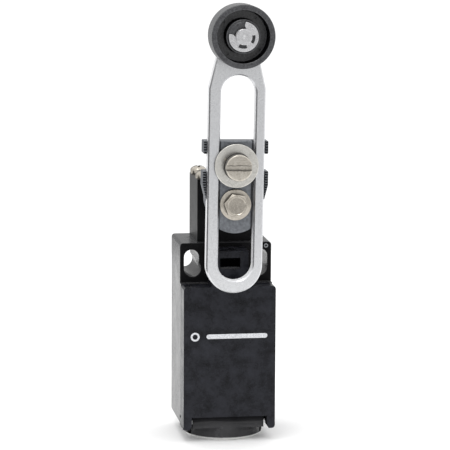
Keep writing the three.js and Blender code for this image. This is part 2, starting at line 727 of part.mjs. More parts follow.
// Long plate with a round foot, straight flanks and a narrower round tip about the roller.
function leverPlate() {
  const { halfWidth, bottom, shoulder, tipRadius, slotX, slotHalfWidth: end } = lever;
  const rise = roller.z - shoulder;
  const tipAngle = Math.acos(tipRadius / Math.hypot(halfWidth, rise)) - Math.atan2(rise, halfWidth);
  const outline = new THREE.Shape();
  outline.absarc(0, bottom + halfWidth, halfWidth, Math.PI, 2 * Math.PI);
  outline.lineTo(halfWidth, shoulder);
  outline.absarc(0, roller.z, tipRadius, tipAngle, Math.PI - tipAngle);
  outline.lineTo(-halfWidth, shoulder);
  const opening = new THREE.Path();
  opening.absarc(slotX, lever.slotBottom + end, end, Math.PI, 2 * Math.PI);
  opening.absarc(slotX, lever.slotTop - end, end, 0, Math.PI);
  outline.holes.push(opening);
  return plate(outline, lever.depth, 12)
    .subtract(barY(axle.radius + gap, [lever.depth[0] - 1, lever.depth[1] + 1], 0, roller.z));
}

// Roller with a deep ring-shaped recess in front, small pits in its web and a shallow recess behind.
function rollerSolid() {
  const { radius, depth: [rear, front], rimRadius, hubRadius, hubFront, web, edge, pits } = roller;
  const { bore, lipBore, lipBack } = roller;
  const tyre = turned([
    [lipBore, hubFront], [hubRadius, hubFront], [hubRadius, web[1]], [rimRadius, web[1]], [rimRadius, front],
    [radius - edge, front], [radius, front - edge], [radius, rear + edge], [radius - edge, rear],
    [rimRadius, rear], [rimRadius, web[0]], [hubRadius, web[0]], [hubRadius, rear], [bore, rear],
    [bore, lipBack], [lipBore, lipBack], [lipBore, hubFront],
  ], roller.z, 48);
  const pit = (i) => {
    const angle = radians(pits.from + (360 / pits.count) * i);
    const x = pits.at * Math.cos(angle);
    const z = roller.z + pits.at * Math.sin(angle);
    return barY(pits.radius, [web[1] - pits.depth, web[1] + 1], x, z, 8);
  };
  return Array.from({ length: pits.count }, (_, i) => pit(i)).reduce((all, next) => all.subtract(next), tyre);
}

// Riveted pin with a groove for the clip near its front end.
function rollerAxle() {
  const { radius, rivetRadius, rivet, rivetEdge, tip, chamfer, groove, grooveRadius } = axle;
  return turned([
    [0, tip], [radius - chamfer, tip], [radius, tip - chamfer], [radius, groove[1]],
    [grooveRadius, groove[1]], [grooveRadius, groove[0]], [radius, groove[0]], [radius, rivet[1]],
    [rivetRadius, rivet[1]], [rivetRadius, rivet[0] + rivetEdge[1]], [rivetRadius - rivetEdge[0], rivet[0]],
    [0, rivet[0]],
  ], roller.z, 24);
}

// Spring clip with three lugs on the groove; it opens up and to the left.
function eClip() {
  const opening = clip.opening.map(radians);
  const reliefs = clip.reliefs.map((pair) => pair.map(radians));
  const outline = new THREE.Shape();
  outline.absarc(0, 0, clip.outer, opening[1] - 2 * Math.PI, opening[0], false);
  let angle = opening[0];
  for (const [from, to] of reliefs) {
    outline.absarc(0, 0, clip.lug, angle, from, true);
    outline.absarc(0, 0, clip.relief, from, to, true);
    angle = to;
  }
  outline.absarc(0, 0, clip.lug, angle, opening[1] - 2 * Math.PI, true);
  return plate(outline, clip.depth, 8).translate([0, 0, roller.z]);
}

const spacer = () => ring(rollerWasher.outer, rollerWasher.bore, rollerWasher.depth, 0, roller.z);
const lining = () => ring(rollerBush.outer, rollerBush.bore, rollerBush.depth, 0, roller.z);

addPart('lever_plate', leverPlate(), 'tumbledSteel', onShaft);
addPart('roller_axle', rollerAxle(), 'nickel', onShaft);
addPart('roller_washer', spacer(), 'nickel', onShaft);
addPart('e_clip', eClip(), 'springSteel', onShaft);
addPart('roller', rollerSolid(), 'blackAcetal', onShaft);
addPart('roller_bush', lining(), 'bronze', onShaft);

// ---------------------------------------------------------------- plunger

const plungerSolid = () => barZ(plunger.stem, [plunger.tip, plunger.head[0] + 0.5], 0, plunger.depth, 24)
  .add(barZ(plunger.headRadius, plunger.head, 0, plunger.depth));

addPart('plunger', plungerSolid(), 'blackAcetal');
addPart('plunger_spring', pressureSpring(
  plunger.spring,
  [plunger.pocketFloor + 0.1, plunger.head[0] - 0.1],
  plunger.depth,
), 'springSteel');

// ---------------------------------------------------------------- contact block

function contactBlock() {
  const { halfWidth, depth, z, chamberHalfWidth, chamber, chamberBack, pocketHalfWidth } = contacts;
  const { terminal, fixing } = contacts;
  const openFront = [chamberBack, depth[1] + 1];
  const terminalBore = [terminal.boreFloor, depth[1] + 1];
  const pocket = (band) => block([-pocketHalfWidth, pocketHalfWidth], openFront, band);
  const screwHoles = (side) => barY(terminal.bore, terminalBore, side * terminal.x, terminal.upper, 16)
    .add(barY(terminal.bore, terminalBore, side * terminal.x, terminal.lower, 16))
    .add(barY(fixing.bore, [depth[0] - 1, depth[1] + 1], side * fixing.x, fixing.z, 16));
  return block([-halfWidth, halfWidth], depth, z)
    .subtract(block([-chamberHalfWidth, chamberHalfWidth], openFront, chamber))
    .subtract(pocket(contacts.upperPocket))
    .subtract(pocket(contacts.lowerPocket))
    .subtract(barZ(contacts.slide.stem + 0.4, [chamber[1] - 1, z[1] + 1], 0, plunger.depth, 24))
    .subtract(bothSides(screwHoles));
}

// Sliding carriage with one window for each bridge.
function contactSlide() {
  const { slide, bridge } = contacts;
  const through = [-slide.halfWidth - 1, slide.halfWidth + 1];
  const halfHeight = bridge.thickness / 2 + slide.window;
  const openingDepth = [bridge.depth[0] - slide.window, bridge.depth[1] + slide.window];
  const opening = (z) => block(through, openingDepth, [z - halfHeight, z + halfHeight]);
  return block([-slide.halfWidth, slide.halfWidth], slide.depth, slide.z)
    .add(barZ(slide.stem, [slide.z[1] - 1, slide.stemTop], 0, plunger.depth, 24))
    .subtract(opening(bridge.upper))
    .subtract(opening(bridge.lower));
}

// Contact bar with a button at each end; the buttons face up or down.
function contactBridge(z, facing) {
  const { bridge: { halfWidth, depth, thickness }, button } = contacts;
  const face = z + (facing * thickness) / 2;
  const band = facing > 0 ? [face - 0.1, face + button.height] : [face - button.height, face + 0.1];
  return block([-halfWidth, halfWidth], depth, [z - thickness / 2, z + thickness / 2])
    .add(bothSides((side) => barZ(button.radius, band, side * button.x, middle(depth), 16)));
}

// Angle strip: a leaf in the pocket, bent along the front of the block to its terminal.
function fixedContact(side, row) {
  const { strip, stripEnd, terminal, terminalClamp, chamberBack } = contacts;
  const leafZ = strip[row];
  const leaf = [leafZ, leafZ + strip.thickness];
  const front = row === 'upper' ? [leafZ, stripEnd.upper] : [stripEnd.lower, leaf[1]];
  const bore = [strip.face[0] - 1, strip.face[1] + 1];
  return block(span(side, ...strip.x), [chamberBack + 0.3, strip.face[1]], leaf)
    .add(block(span(side, strip.x[0], strip.headX), strip.face, front))
    .subtract(barY(terminalClamp.bore, bore, side * terminal.x, terminal[row], 16));
}

// Square plate under the head of a terminal screw.
function terminalClamp(x, z) {
  const { halfWidth, halfHeight, depth, bore } = contacts.terminalClamp;
  return block([x - halfWidth, x + halfWidth], depth, [z - halfHeight, z + halfHeight])
    .subtract(barY(bore, [depth[0] - 1, depth[1] + 1], x, z, 10));
}

// Slotted screw that points back into the block.
function slottedScrew(x, z, { seat, tail, shank }) {
  const { headRadius, headHeight, slotFloor, slotHalf } = slotted;
  const slotX = [x - headRadius - 1, x + headRadius + 1];
  return barY(headRadius, [seat, seat + headHeight], x, z, 16)
    .add(barY(shank, [tail, seat + 0.5], x, z, 10))
    .subtract(block(slotX, [seat + slotFloor, seat + headHeight + 1], [z - slotHalf, z + slotHalf]));
}

function slideSpring() {
  const { chamber, slide, spring } = contacts;
  return pressureSpring(spring, [chamber[0] + 0.1, slide.z[0] - 0.1], spring.depth);
}

function slideRetainer() {
  const { retainer, strip } = contacts;
  return block([-retainer.halfWidth, retainer.halfWidth], strip.face, retainer.z);
}

addPart('contact_block', contactBlock(), 'greyMoulding');
addPart('contact_slide', contactSlide(), 'paleNylon');
addPart('contact_bridge_upper', contactBridge(contacts.bridge.upper, 1), 'brass');
addPart('contact_bridge_lower', contactBridge(contacts.bridge.lower, -1), 'brass');
addPart('slide_spring', slideSpring(), 'springSteel');
addPart('slide_retainer', slideRetainer(), 'greyMoulding');

const terminalPlaces = [[-1, 'upper'], [1, 'upper'], [-1, 'lower'], [1, 'lower']];
terminalPlaces.forEach(([side, row], index) => {
  const x = side * contacts.terminal.x;
  const z = contacts.terminal[row];
  addPart(`fixed_contact_${index + 1}`, fixedContact(side, row), 'brass');
  addPart(`terminal_clamp_${index + 1}`, terminalClamp(x, z), 'nickel');
  addPart(`terminal_screw_${index + 1}`, slottedScrew(x, z, contacts.terminalScrew), 'nickel');
});
for (const [name, side] of [['block_screw_left', -1], ['block_screw_right', 1]]) {
  const screw = { seat: contacts.depth[1] + gap, ...contacts.blockScrew };
  addPart(name, slottedScrew(side * contacts.fixing.x, contacts.fixing.z, screw), 'nickel');
}

export default group;
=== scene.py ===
import json
import math
import random
from types import SimpleNamespace

import bmesh
import bpy
from mathutils import Matrix, Vector, geometry


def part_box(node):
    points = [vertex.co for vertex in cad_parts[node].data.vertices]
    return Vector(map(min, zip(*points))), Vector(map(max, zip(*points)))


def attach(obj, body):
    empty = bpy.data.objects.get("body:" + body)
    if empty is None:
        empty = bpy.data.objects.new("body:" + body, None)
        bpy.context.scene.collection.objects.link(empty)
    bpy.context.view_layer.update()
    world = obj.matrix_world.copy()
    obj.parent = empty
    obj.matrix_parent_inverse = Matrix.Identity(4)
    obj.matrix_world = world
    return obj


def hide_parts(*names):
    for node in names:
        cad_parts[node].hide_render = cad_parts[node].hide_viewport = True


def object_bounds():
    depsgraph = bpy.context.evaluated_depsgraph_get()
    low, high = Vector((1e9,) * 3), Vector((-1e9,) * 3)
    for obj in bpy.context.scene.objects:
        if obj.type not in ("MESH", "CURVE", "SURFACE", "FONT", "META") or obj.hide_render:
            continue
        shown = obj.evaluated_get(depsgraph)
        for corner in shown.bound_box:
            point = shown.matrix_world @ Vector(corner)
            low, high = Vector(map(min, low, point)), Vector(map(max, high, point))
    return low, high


# Looks of a limit switch with an adjustable roller lever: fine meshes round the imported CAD
# frame, procedural finishes, a pale floor, soft light and the camera.
#
# The modelling below counts in millimetres, in the frame's own axes: +X to the right, the
# front faces -Y, +Z up. A "depth" is a distance in front of the back face, so y = -depth.

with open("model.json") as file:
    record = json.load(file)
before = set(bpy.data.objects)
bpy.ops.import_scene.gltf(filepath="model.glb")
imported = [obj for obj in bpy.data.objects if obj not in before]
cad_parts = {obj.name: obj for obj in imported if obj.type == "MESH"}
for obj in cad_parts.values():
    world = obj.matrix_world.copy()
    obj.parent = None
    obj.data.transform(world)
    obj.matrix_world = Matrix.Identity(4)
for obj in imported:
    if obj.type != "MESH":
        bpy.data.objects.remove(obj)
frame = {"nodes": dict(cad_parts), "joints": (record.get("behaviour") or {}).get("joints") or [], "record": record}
cad_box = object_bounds()

MM = 0.001
SLOT_OF = {part["node"]: part["material_slot"] for part in frame["record"]["subparts"]}
BODIES = frame["record"]["behaviour"]["bodies"]
BODY_OF = {node: body for body, nodes in BODIES.items() for node in nodes}
JOINTS = {joint["name"]: joint for joint in frame["joints"]}

# The lever group is built about the shaft, in axes that lean with the lever.
SHAFT = Vector(JOINTS["shaft_turn"]["pos_m"]) / MM
LEAN = math.atan2(JOINTS["lever_slide"]["axis"][0], JOINTS["lever_slide"]["axis"][2])
SHAFT_FRAME = Matrix.Translation((0, 0, SHAFT.z)) @ Matrix.Rotation(LEAN, 4, "Y")
UNMOVED = Matrix.Identity(4)


# ---------------------------------------------------------------- finishes


def srgb(red, green, blue):
    """Linear colour of an 8-bit display colour."""
    def linear(value):
        share = value / 255
        return share / 12.92 if share <= 0.04045 else ((share + 0.055) / 1.055) ** 2.4
    return (linear(red), linear(green), linear(blue), 1.0)


class Finish:
    """A principled material, with helpers for what varies over its surface."""

    def __init__(self, name, metallic=0.0):
        self.material = bpy.data.materials.new(name)
        self.material.use_nodes = True
        self.nodes = self.material.node_tree.nodes
        self.links = self.material.node_tree.links
        self.shader = self.nodes["Principled BSDF"]
        self.shader.inputs["Metallic"].default_value = metallic
        self.place = self.nodes.new("ShaderNodeTexCoord").outputs["Object"]

    def noise(self, size, detail, roughness=0.55):
        """Cloudy pattern with blotches of about this many millimetres."""
        texture = self.nodes.new("ShaderNodeTexNoise")
        texture.inputs["Scale"].default_value = 1 / (size * MM)
        texture.inputs["Detail"].default_value = detail
        texture.inputs["Roughness"].default_value = roughness
        self.links.new(self.place, texture.inputs["Vector"])
        return texture.outputs["Fac"]

    def mixed(self, first, second, share):
        """Two patterns, mixed in this share of the second."""
        mix = self.nodes.new("ShaderNodeMix")
        mix.inputs["Factor"].default_value = share
        self.links.new(first, mix.inputs["A"])
        self.links.new(second, mix.inputs["B"])
        return mix.outputs["Result"]

    def colour(self, pattern, *stops):
        """Base colour from the pattern; each stop is (place on the pattern, colour)."""
        ramp = self.nodes.new("ShaderNodeValToRGB")
        elements = ramp.color_ramp.elements
        while len(elements) < len(stops):
            elements.new(0.5)
        for element, (position, colour) in zip(elements, stops):
            element.position = position
            element.color = colour
        self.links.new(pattern, ramp.inputs["Fac"])
        self.links.new(ramp.outputs["Color"], self.shader.inputs["Base Color"])

    def roughness(self, pattern, low, high):
        """Roughness from low to high over the values that nearly all of a noise pattern has."""
        span = self.nodes.new("ShaderNodeMapRange")
        for socket, value in (("From Min", 0.3), ("From Max", 0.7), ("To Min", low), ("To Max", high)):
            span.inputs[socket].default_value = value
        self.links.new(pattern, span.inputs["Value"])
        self.links.new(span.outputs["Result"], self.shader.inputs["Roughness"])

    def relief(self, *layers):
        """Surface relief; each layer is (pattern, height in millimetres, strength)."""
        normal = None
        for pattern, height, strength in layers:
            bump = self.nodes.new("ShaderNodeBump")
            bump.inputs["Distance"].default_value = height * MM
            bump.inputs["Strength"].default_value = strength
            self.links.new(pattern, bump.inputs["Height"])
            if normal is not None:
                self.links.new(normal, bump.inputs["Normal"])
            normal = bump.outputs["Normal"]
        self.links.new(normal, self.shader.inputs["Normal"])


def moulded(name, dark, light, rough, grain=0.02, blotch=9, sheen=0.46):
    """Glass-filled moulding: soft clouds in its colour and gloss over a fine grain."""
    finish = Finish(name)
    clouds = finish.noise(blotch, detail=9.0, roughness=0.68)
    fine = finish.noise(0.16, detail=3.0)
    finish.colour(finish.mixed(clouds, fine, 0.35), (0.36, srgb(*dark)), (0.64, srgb(*light)))
    finish.roughness(clouds, *rough)
    finish.shader.inputs["Specular IOR Level"].default_value = sheen
    finish.relief((fine, grain, 0.5), (finish.noise(1.1, detail=2.0), 0.03, 0.25))
    return finish.material


def metal(name, dark, light, rough, blotch=0.8, grain=0.01, metallic=1.0):
    """Plated or worked metal: slight stains, and a fine relief that spreads its gloss."""
    finish = Finish(name, metallic)
    clouds = finish.noise(blotch, detail=6.0)
    fine = finish.noise(0.12, detail=4.0)
    finish.colour(finish.mixed(clouds, fine, 0.4), (0.35, srgb(*dark)), (0.65, srgb(*light)))
    finish.roughness(fine, *rough)
    finish.relief((fine, grain, 0.35), (clouds, 0.03, 0.2))
    return finish.material


def rubber():
    finish = Finish("rubber")
    fine = finish.noise(0.3, detail=5.0)
    finish.colour(fine, (0.3, srgb(18, 18, 18)), (0.7, srgb(40, 40, 41)))
    finish.roughness(fine, 0.75, 0.9)
    finish.relief((fine, 0.02, 0.4))
    return finish.material


def printed_ink():
    finish = Finish("printed_ink")
    fine = finish.noise(0.35, detail=5.0)
    finish.colour(fine, (0.3, srgb(168, 169, 174)), (0.6, srgb(222, 223, 227)))
    finish.roughness(fine, 0.45, 0.65)
    finish.relief((fine, 0.01, 0.3))
    return finish.material


# Mouldings and metals: the darkest and the lightest display colour, the lowest and the highest
# roughness, and what else differs from the usual values of moulded() and metal().
MOULDINGS = {
    "black_nylon": ((1, 1, 3), (44, 45, 51), (0.2, 0.36), {"blotch": 5, "sheen": 0.14}),
    "base_nylon": ((40, 40, 42), (58, 58, 60), (0.2, 0.3), {"grain": 0.03, "sheen": 0.26}),
    "head_nylon": ((5, 5, 6), (20, 20, 22), (0.32, 0.42), {"sheen": 0.36}),
    # Painted shade: a darker, matt and dull finish for front faces that lie in shade.
    "shaded_front_nylon": ((4, 4, 5), (18, 18, 20), (0.5, 0.6), {"grain": 0.03, "sheen": 0.1}),
    # Painted shade: black for recesses, gaps and the undersides of teeth.
    "painted_recess_shade": ((3, 3, 4), (9, 9, 10), (0.7, 0.8), {"sheen": 0.05}),
    "black_acetal": ((30, 30, 33), (76, 77, 80), (0.16, 0.28), {"blotch": 0.7, "sheen": 0.6}),
    "pale_nylon": ((226, 227, 224), (244, 244, 242), (0.4, 0.55), {"grain": 0.01}),
    "grey_moulding": ((120, 122, 125), (152, 154, 157), (0.5, 0.62), {}),
}
METALS = {
    "slate_casting": ((96, 99, 103), (132, 135, 140), (0.44, 0.58), {"grain": 0.03}),
    "tumbled_steel": ((206, 207, 209), (224, 225, 227), (0.24, 0.34), {}),
    "nickel": ((154, 148, 138), (186, 180, 170), (0.2, 0.32), {}),
    "bright_nickel": ((176, 170, 159), (208, 202, 192), (0.2, 0.32), {}),
    "washer_plate": ((200, 198, 192), (226, 224, 218), (0.2, 0.32), {}),
    "sheared_steel": ((226, 226, 228), (246, 246, 247), (0.5, 0.65), {"metallic": 0.2}),
    # Painted shade: darker steel for screw slots and hexagon walls.
    "painted_shade_steel": ((60, 57, 53), (112, 107, 100), (0.4, 0.6), {}),
    # Painted shade: darker plate for washer rims, the lock washer and the side of the clamp screw head.
    "shaded_plate": ((16, 16, 15), (76, 73, 69), (0.22, 0.34), {"metallic": 0.6}),
    "spring_steel": ((196, 196, 198), (226, 226, 228), (0.22, 0.34), {}),
    "bronze": ((138, 98, 52), (184, 140, 84), (0.4, 0.55), {"blotch": 0.4, "grain": 0.03}),
    "brass": ((176, 138, 66), (212, 176, 98), (0.25, 0.4), {}),
}


def all_finishes():
    made = {"rubber": rubber(), "printed_ink": printed_ink()}
    for name, (*look, more) in MOULDINGS.items():
        made[name] = moulded(name, *look, **more)
    for name, (*look, more) in METALS.items():
        made[name] = metal(name, *look, **more)
    return made


FINISHES = all_finishes()


# ---------------------------------------------------------------- meshes

WELD = 0.0005  # points of a new mesh that are closer than this become one
CAD_WELD = 0.001  # the same for a mesh that comes from the CAD frame
SAME_POINT = 1e-4  # points of an outline that are closer than this are one point
CLEAR = 1  # a cutting tool reaches this far beyond the piece,
SLIGHT = 0.1  # and only this far where another part of the piece is near
CURVE_STEPS = 3  # pieces of a rounded edge
FLAT_BELOW = math.radians(1)  # CAD faces at a smaller angle are joined into one
SHARP_ABOVE = math.radians(32)  # a CAD edge between faces at a larger angle is rounded
SMOOTH_BELOW = math.radians(36)  # two faces at a smaller angle are shaded as one


def new_piece(name, solid, matrix=UNMOVED):
    """Object of a mesh that was built in millimetres, moved by the matrix first."""
    bmesh.ops.remove_doubles(solid, verts=solid.verts, dist=WELD)
    bmesh.ops.recalc_face_normals(solid, faces=solid.faces)
    solid.transform(Matrix.Scale(MM, 4) @ matrix)
    mesh = bpy.data.meshes.new(name)
    solid.to_mesh(mesh)
    solid.free()
    piece = bpy.data.objects.new(name, mesh)
    bpy.context.scene.collection.objects.link(piece)
    return piece


def shade(piece):
    """Smooth shading that keeps flat faces flat and sharp corners sharp."""
    piece.data.shade_smooth()
    piece.data.set_sharp_from_angle(angle=SMOOTH_BELOW)
    weighting = piece.modifiers.new("flat_faces", "WEIGHTED_NORMAL")
    weighting.keep_sharp = True
    weighting.weight = 100


def painted(piece, finish):
    """Gives the whole piece one finish."""
    piece.data.materials.clear()
    piece.data.materials.append(FINISHES[finish])


def stand_in(piece, node, finish=None):
    """The piece is shown in place of the node, on its body and in its finish."""
    shade(piece)
    painted(piece, finish or SLOT_OF[node])
    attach(piece, BODY_OF[node])
    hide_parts(node)


def repaint(piece, finish, picked):
    """Gives the faces that picked(centre, normal) chooses another finish.

    The parts of the normal are cosines: beyond 0.9 a face looks along that axis, and below
    0.5 it is a wall beside it.
    """
    piece.data.materials.append(FINISHES[finish])
    for face in piece.data.polygons:
        if picked(face.center / MM, face.normal):
            face.material_index = len(piece.data.materials) - 1


def added(piece, body, finish):
    """The piece is a detail that rides on the body, with no node of its own."""
    shade(piece)
    painted(piece, finish)
    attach(piece, body)


def combine(piece, tool, operation):
    """Joins the tool to the piece or cuts it out of it, for good."""
    step = piece.modifiers.new("combine", "BOOLEAN")
    step.operation = operation
    step.solver = "EXACT"
    step.object = tool
    evaluated = piece.evaluated_get(bpy.context.evaluated_depsgraph_get())
    result = bpy.data.meshes.new_from_object(evaluated)
    piece.modifiers.clear()
    piece.data = result
    bpy.data.objects.remove(tool)


def rounded(points, radius, closed=False):
    """The line through the points, with a small curve in place of each corner.

    A curve takes the radius from both sides of its corner, or 0.45 of a side that is short.
    """
    points = [Vector(point) for point in points]
    line = []
    for index, corner in enumerate(points):
        if not closed and index in (0, len(points) - 1):
            line.append(corner)
            continue
        before = points[index - 1] - corner
        after = points[(index + 1) % len(points)] - corner
        cut = min(radius, 0.45 * before.length, 0.45 * after.length)
        start = corner + before.normalized() * cut
        end = corner + after.normalized() * cut
        line += bow(start, corner, end, CURVE_STEPS)
    return line


def about_y(x, z):
    """Places (radius, depth, angle) round a front-to-back axis."""
    def place(radius, depth, angle):
        return (x + radius * math.cos(angle), -depth, z + radius * math.sin(angle))
    return place


def about_z(x, depth):
    """Places (radius, height, angle) round an upright axis."""
    def place(radius, z, angle):
        return (x + radius * math.cos(angle), radius * math.sin(angle) - depth, z)
    return place


def turned(profile, place, segments=96, closed=False):
    """Solid of revolution. An open profile starts and ends on the axis."""
    solid = bmesh.new()
    angles = [2 * math.pi * step / segments for step in range(segments)]
    rings = []
    for radius, along in profile:
        if radius < 1e-6:
            rings.append([solid.verts.new(place(0, along, 0))] * segments)
        else:
            rings.append([solid.verts.new(place(radius, along, angle)) for angle in angles])
    pairs = list(zip(rings, rings[1:])) + ([(rings[-1], rings[0])] if closed else [])
    for first, second in pairs:
        for step in range(segments):
            after = (step + 1) % segments
            corners = [first[step], first[after], second[after], second[step]]
            unique = list(dict.fromkeys(corners))
            if len(unique) > 2:
                solid.faces.new(unique)
    return solid


def arc(x, z, radius, start, end, steps):
    """Points of an arc from one angle to another, in degrees."""
    angles = [math.radians(start + (end - start) * step / steps) for step in range(steps + 1)]
    return [Vector((x + radius * math.cos(angle), z + radius * math.sin(angle))) for angle in angles]


def bow(start, control, end, steps):
    """Points of a quadratic curve."""
    start, control, end = Vector(start), Vector(control), Vector(end)
    shares = [step / steps for step in range(steps + 1)]
    return [(1 - t) ** 2 * start + 2 * t * (1 - t) * control + t ** 2 * end for t in shares]


def signed_area(loop):
    """Area inside the loop, above zero when it runs anticlockwise."""
    edges = [(loop[i - 1], point) for i, point in enumerate(loop)]
    return sum(point.x * before.y - before.x * point.y for before, point in edges) / -2


def directed(loop, area_sign):
    """The loop without repeated points, turned so that its area has this sign."""
    loop = [point for i, point in enumerate(loop) if (point - loop[i - 1]).length > SAME_POINT]
    return loop if signed_area(loop) * area_sign > 0 else loop[::-1]


def inset(loop, distance):
    """The loop moved to its left, which is where the material lies."""
    moved = []
    for i, point in enumerate(loop):
        behind = (point - loop[i - 1]).normalized()
        ahead = (loop[(i + 1) % len(loop)] - point).normalized()
        left = Vector((-ahead.y, ahead.x))
        middle = Vector((-ahead.y - behind.y, ahead.x + behind.x)).normalized()
        moved.append(point + middle * distance / max(0.5, middle.dot(left)))
    return moved


def plate(outline, holes, back, front, edge, steps=CURVE_STEPS):
    """Flat plate from its outline and holes in (x, z), with rounded edges."""
    loops = [directed(outline, 1)] + [directed(hole, -1) for hole in holes]
    quarter = [math.pi / 2 * step / steps for step in range(steps + 1)]
    sides = [(edge * (1 - math.sin(a)), edge * (1 - math.cos(a))) for a in quarter]
    levels = [(inward, front - drop) for inward, drop in sides]
    levels += [(inward, back + drop) for inward, drop in reversed(sides)]
    solid = bmesh.new()
    front_rings, back_rings = [], []
    for loop in loops:
        rings = []
        for inward, depth in levels:
            rings.append([solid.verts.new((p.x, -depth, p.y)) for p in inset(loop, inward)])
        for first, second in zip(rings, rings[1:]):
            for i in range(len(loop)):
                solid.faces.new((first[i - 1], first[i], second[i], second[i - 1]))
        front_rings.append(rings[0])
        back_rings.append(rings[-1])
    for rings in (front_rings, back_rings):
        corners = [corner for ring in rings for corner in ring]
        lines = [[corner.co for corner in ring] for ring in rings]
        for triangle in geometry.tessellate_polygon(lines):
            solid.faces.new([corners[i] for i in triangle])
    return solid


def soften(solid, edges, width, clamp_overlap):
    """Rounds these edges of the mesh."""
    bmesh.ops.bevel(
        solid, geom=edges, offset=width, segments=CURVE_STEPS, profile=0.5, affect="EDGES",
        clamp_overlap=clamp_overlap,
    )


def bar(x, depth, z, edge=0.0):
    """Block between two values of x, of depth and of z, with rounded edges if asked."""
    solid = bmesh.new()
    bmesh.ops.create_cube(solid, size=1)
    size = Vector((x[1] - x[0], depth[1] - depth[0], z[1] - z[0]))
    centre = Vector((x[0] + x[1], -depth[0] - depth[1], z[0] + z[1])) / 2
    solid.transform(Matrix.Translation(centre) @ Matrix.Diagonal((*size, 1)))
    if edge:
        soften(solid, solid.edges[:], edge, clamp_overlap=False)
    return solid


def refined(node, edge, spare):
    """Copy of a CAD node with its sharp edges rounded; edges that spare() picks stay."""
    solid = bmesh.new()
    solid.from_mesh(frame["nodes"][node].data)
    solid.transform(Matrix.Scale(1 / MM, 4))
    bmesh.ops.remove_doubles(solid, verts=solid.verts, dist=CAD_WELD)
    bmesh.ops.dissolve_limit(solid, angle_limit=FLAT_BELOW, verts=solid.verts, edges=solid.edges)
    sharp = []
    for line in solid.edges:
        if not line.is_manifold or line.calc_face_angle(0) < SHARP_ABOVE:
            continue
        if not spare((line.verts[0].co + line.verts[1].co) / 2):
            sharp.append(line)
    soften(solid, sharp, edge, clamp_overlap=True)
    return new_piece(node + "_shell", solid)


class Round:
    """Place and reach, in millimetres, of a node that is round about a front-to-back axis."""

    def __init__(self, node):
        low, high = (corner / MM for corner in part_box(node))
        self.x = (low.x + high.x) / 2
        self.z = (low.z + high.z) / 2
        self.radius = (high.x - low.x) / 2
        self.back = -high.y
        self.front = -low.y

    def place(self):
        """Places (radius, depth, angle) round the node's axis."""
        return about_y(self.x, self.z)

    def leaning(self, back=0):
        """Matrix to the node's axis: leans with the lever, turned back by so many degrees."""
        turn = Matrix.Rotation(LEAN - math.radians(back), 4, "Y")
        return Matrix.Translation((self.x, 0, self.z)) @ turn


def turned_piece(name, profile, at, edge, segments=96, closed=False):
    """Turned piece with softened corners, round the axis of a node."""
    line = rounded(profile, edge, closed=closed)
    return new_piece(name, turned(line, at.place(), segments, closed))


def ring_profile(bore, radius, back, front):
    """Section of a plain ring, from its bore outwards."""
    return [(bore, front), (radius, front), (radius, back), (bore, back)]


def ring_piece(node, bore, edge):
    """Plain ring of a node's size, with softened corners."""
    at = Round(node)
    profile = ring_profile(bore, at.radius, at.back, at.front)
    return turned_piece(node + "_turned", profile, at, edge, closed=True)


# ---------------------------------------------------------------- base, cover and head

HOUSING_EDGE = 0.4
BASE = SimpleNamespace(
    wall=2.4, cavity_top=-8.3, cavity_foot=5, flange_front=20.7, flange_foot=-10,
    entry_depth=15, entry_radius=10.5, entry_top=-40,
    ear_inset=1, ear_depth=20, ear_top=-50,
    dash_x=(-12, -9.6), dash_depth=(8.35, 8.65), dash_deep=0.25,
)
FLANGE_MARK = SimpleNamespace(
    x=13.2, below_top=1.25, bore=0.35, radius=0.7,
    sunk=0.2, proud=0.3, edge=0.1,
)
ENTRY = SimpleNamespace(
    bore=9.25, crest=0.45, pitch=1.5, land=0.4, plain_foot=1,
    lip_width=2, lip_height=0.95, edge=0.2,
)
COVER = SimpleNamespace(
    lining=0.5, shell_foot=4.3, shell_top=-8, ear_inset=1, ear_top=-50.5,
    window_half=3.45, window_bottom=-0.75, window_top=3.15, window_back=24,
)
LEDGE = SimpleNamespace(back=1.5, front=0.45, top=0, overlap=0.2, edge=0.12)
PRINT = SimpleNamespace(
    z=-22.6, sunk=0.1, proud=0.02, edge=0.005,
    ring_x=-11.3, ring_radii=(1.45, 0.85), bar_x=(-7.6, 12.3), bar_half=0.75,
)
HEAD = SimpleNamespace(cavity_half=8.4, cavity=(0.5, 17.4), roof=1.2, front=15)
HEAD_SCREW = SimpleNamespace(
    height=2.6, shoulder=0.75, side=1.2, shank=1.25, edge=0.15,
    arm=1.65, arm_half=0.38, recess=1.3,
)


def box_mm(node):
    """Lowest and highest corner of a node's box, in millimetres."""
    return [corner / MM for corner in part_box(node)]


def base_piece():
    """Base with its flange, whose front is painted darker and matt as shade, and a small dash cut into its top."""
    low, high = box_mm("base_housing")

    def beside_ears(point):
        in_front = point.y < -BASE.ear_depth and point.z < BASE.ear_top
        return in_front and abs(point.x) < high.x - BASE.ear_inset

    def inside(point):
        """Edges of the wiring space, the cable entry and the gap to the ears stay sharp."""
        in_walls = abs(point.x) < high.x - BASE.wall and point.y < -BASE.wall
        in_cavity = in_walls and low.z + BASE.cavity_foot < point.z < BASE.cavity_top
        in_entry = math.hypot(point.x, point.y + BASE.entry_depth) < BASE.entry_radius
        return in_cavity or (in_entry and point.z < BASE.entry_top) or beside_ears(point)

    piece = refined("base_housing", HOUSING_EDGE, inside)
    dash = bar(BASE.dash_x, BASE.dash_depth, (high.z - BASE.dash_deep, high.z + CLEAR))
    combine(piece, new_piece("dash", dash), "DIFFERENCE")
    stand_in(piece, "base_housing", "base_nylon")

    def on_flange_front(centre, normal):
        return normal.y < -0.9 and centre.z > BASE.flange_foot

    def in_ear_notch(centre, normal):
        return abs(normal.x) > 0.9 and beside_ears(centre)

    # Painted shade: the flange front in the darker, matt finish.
    repaint(piece, "shaded_front_nylon", on_flange_front)
    # Painted shade: the walls beside the ears in black.
    repaint(piece, "painted_recess_shade", in_ear_notch)


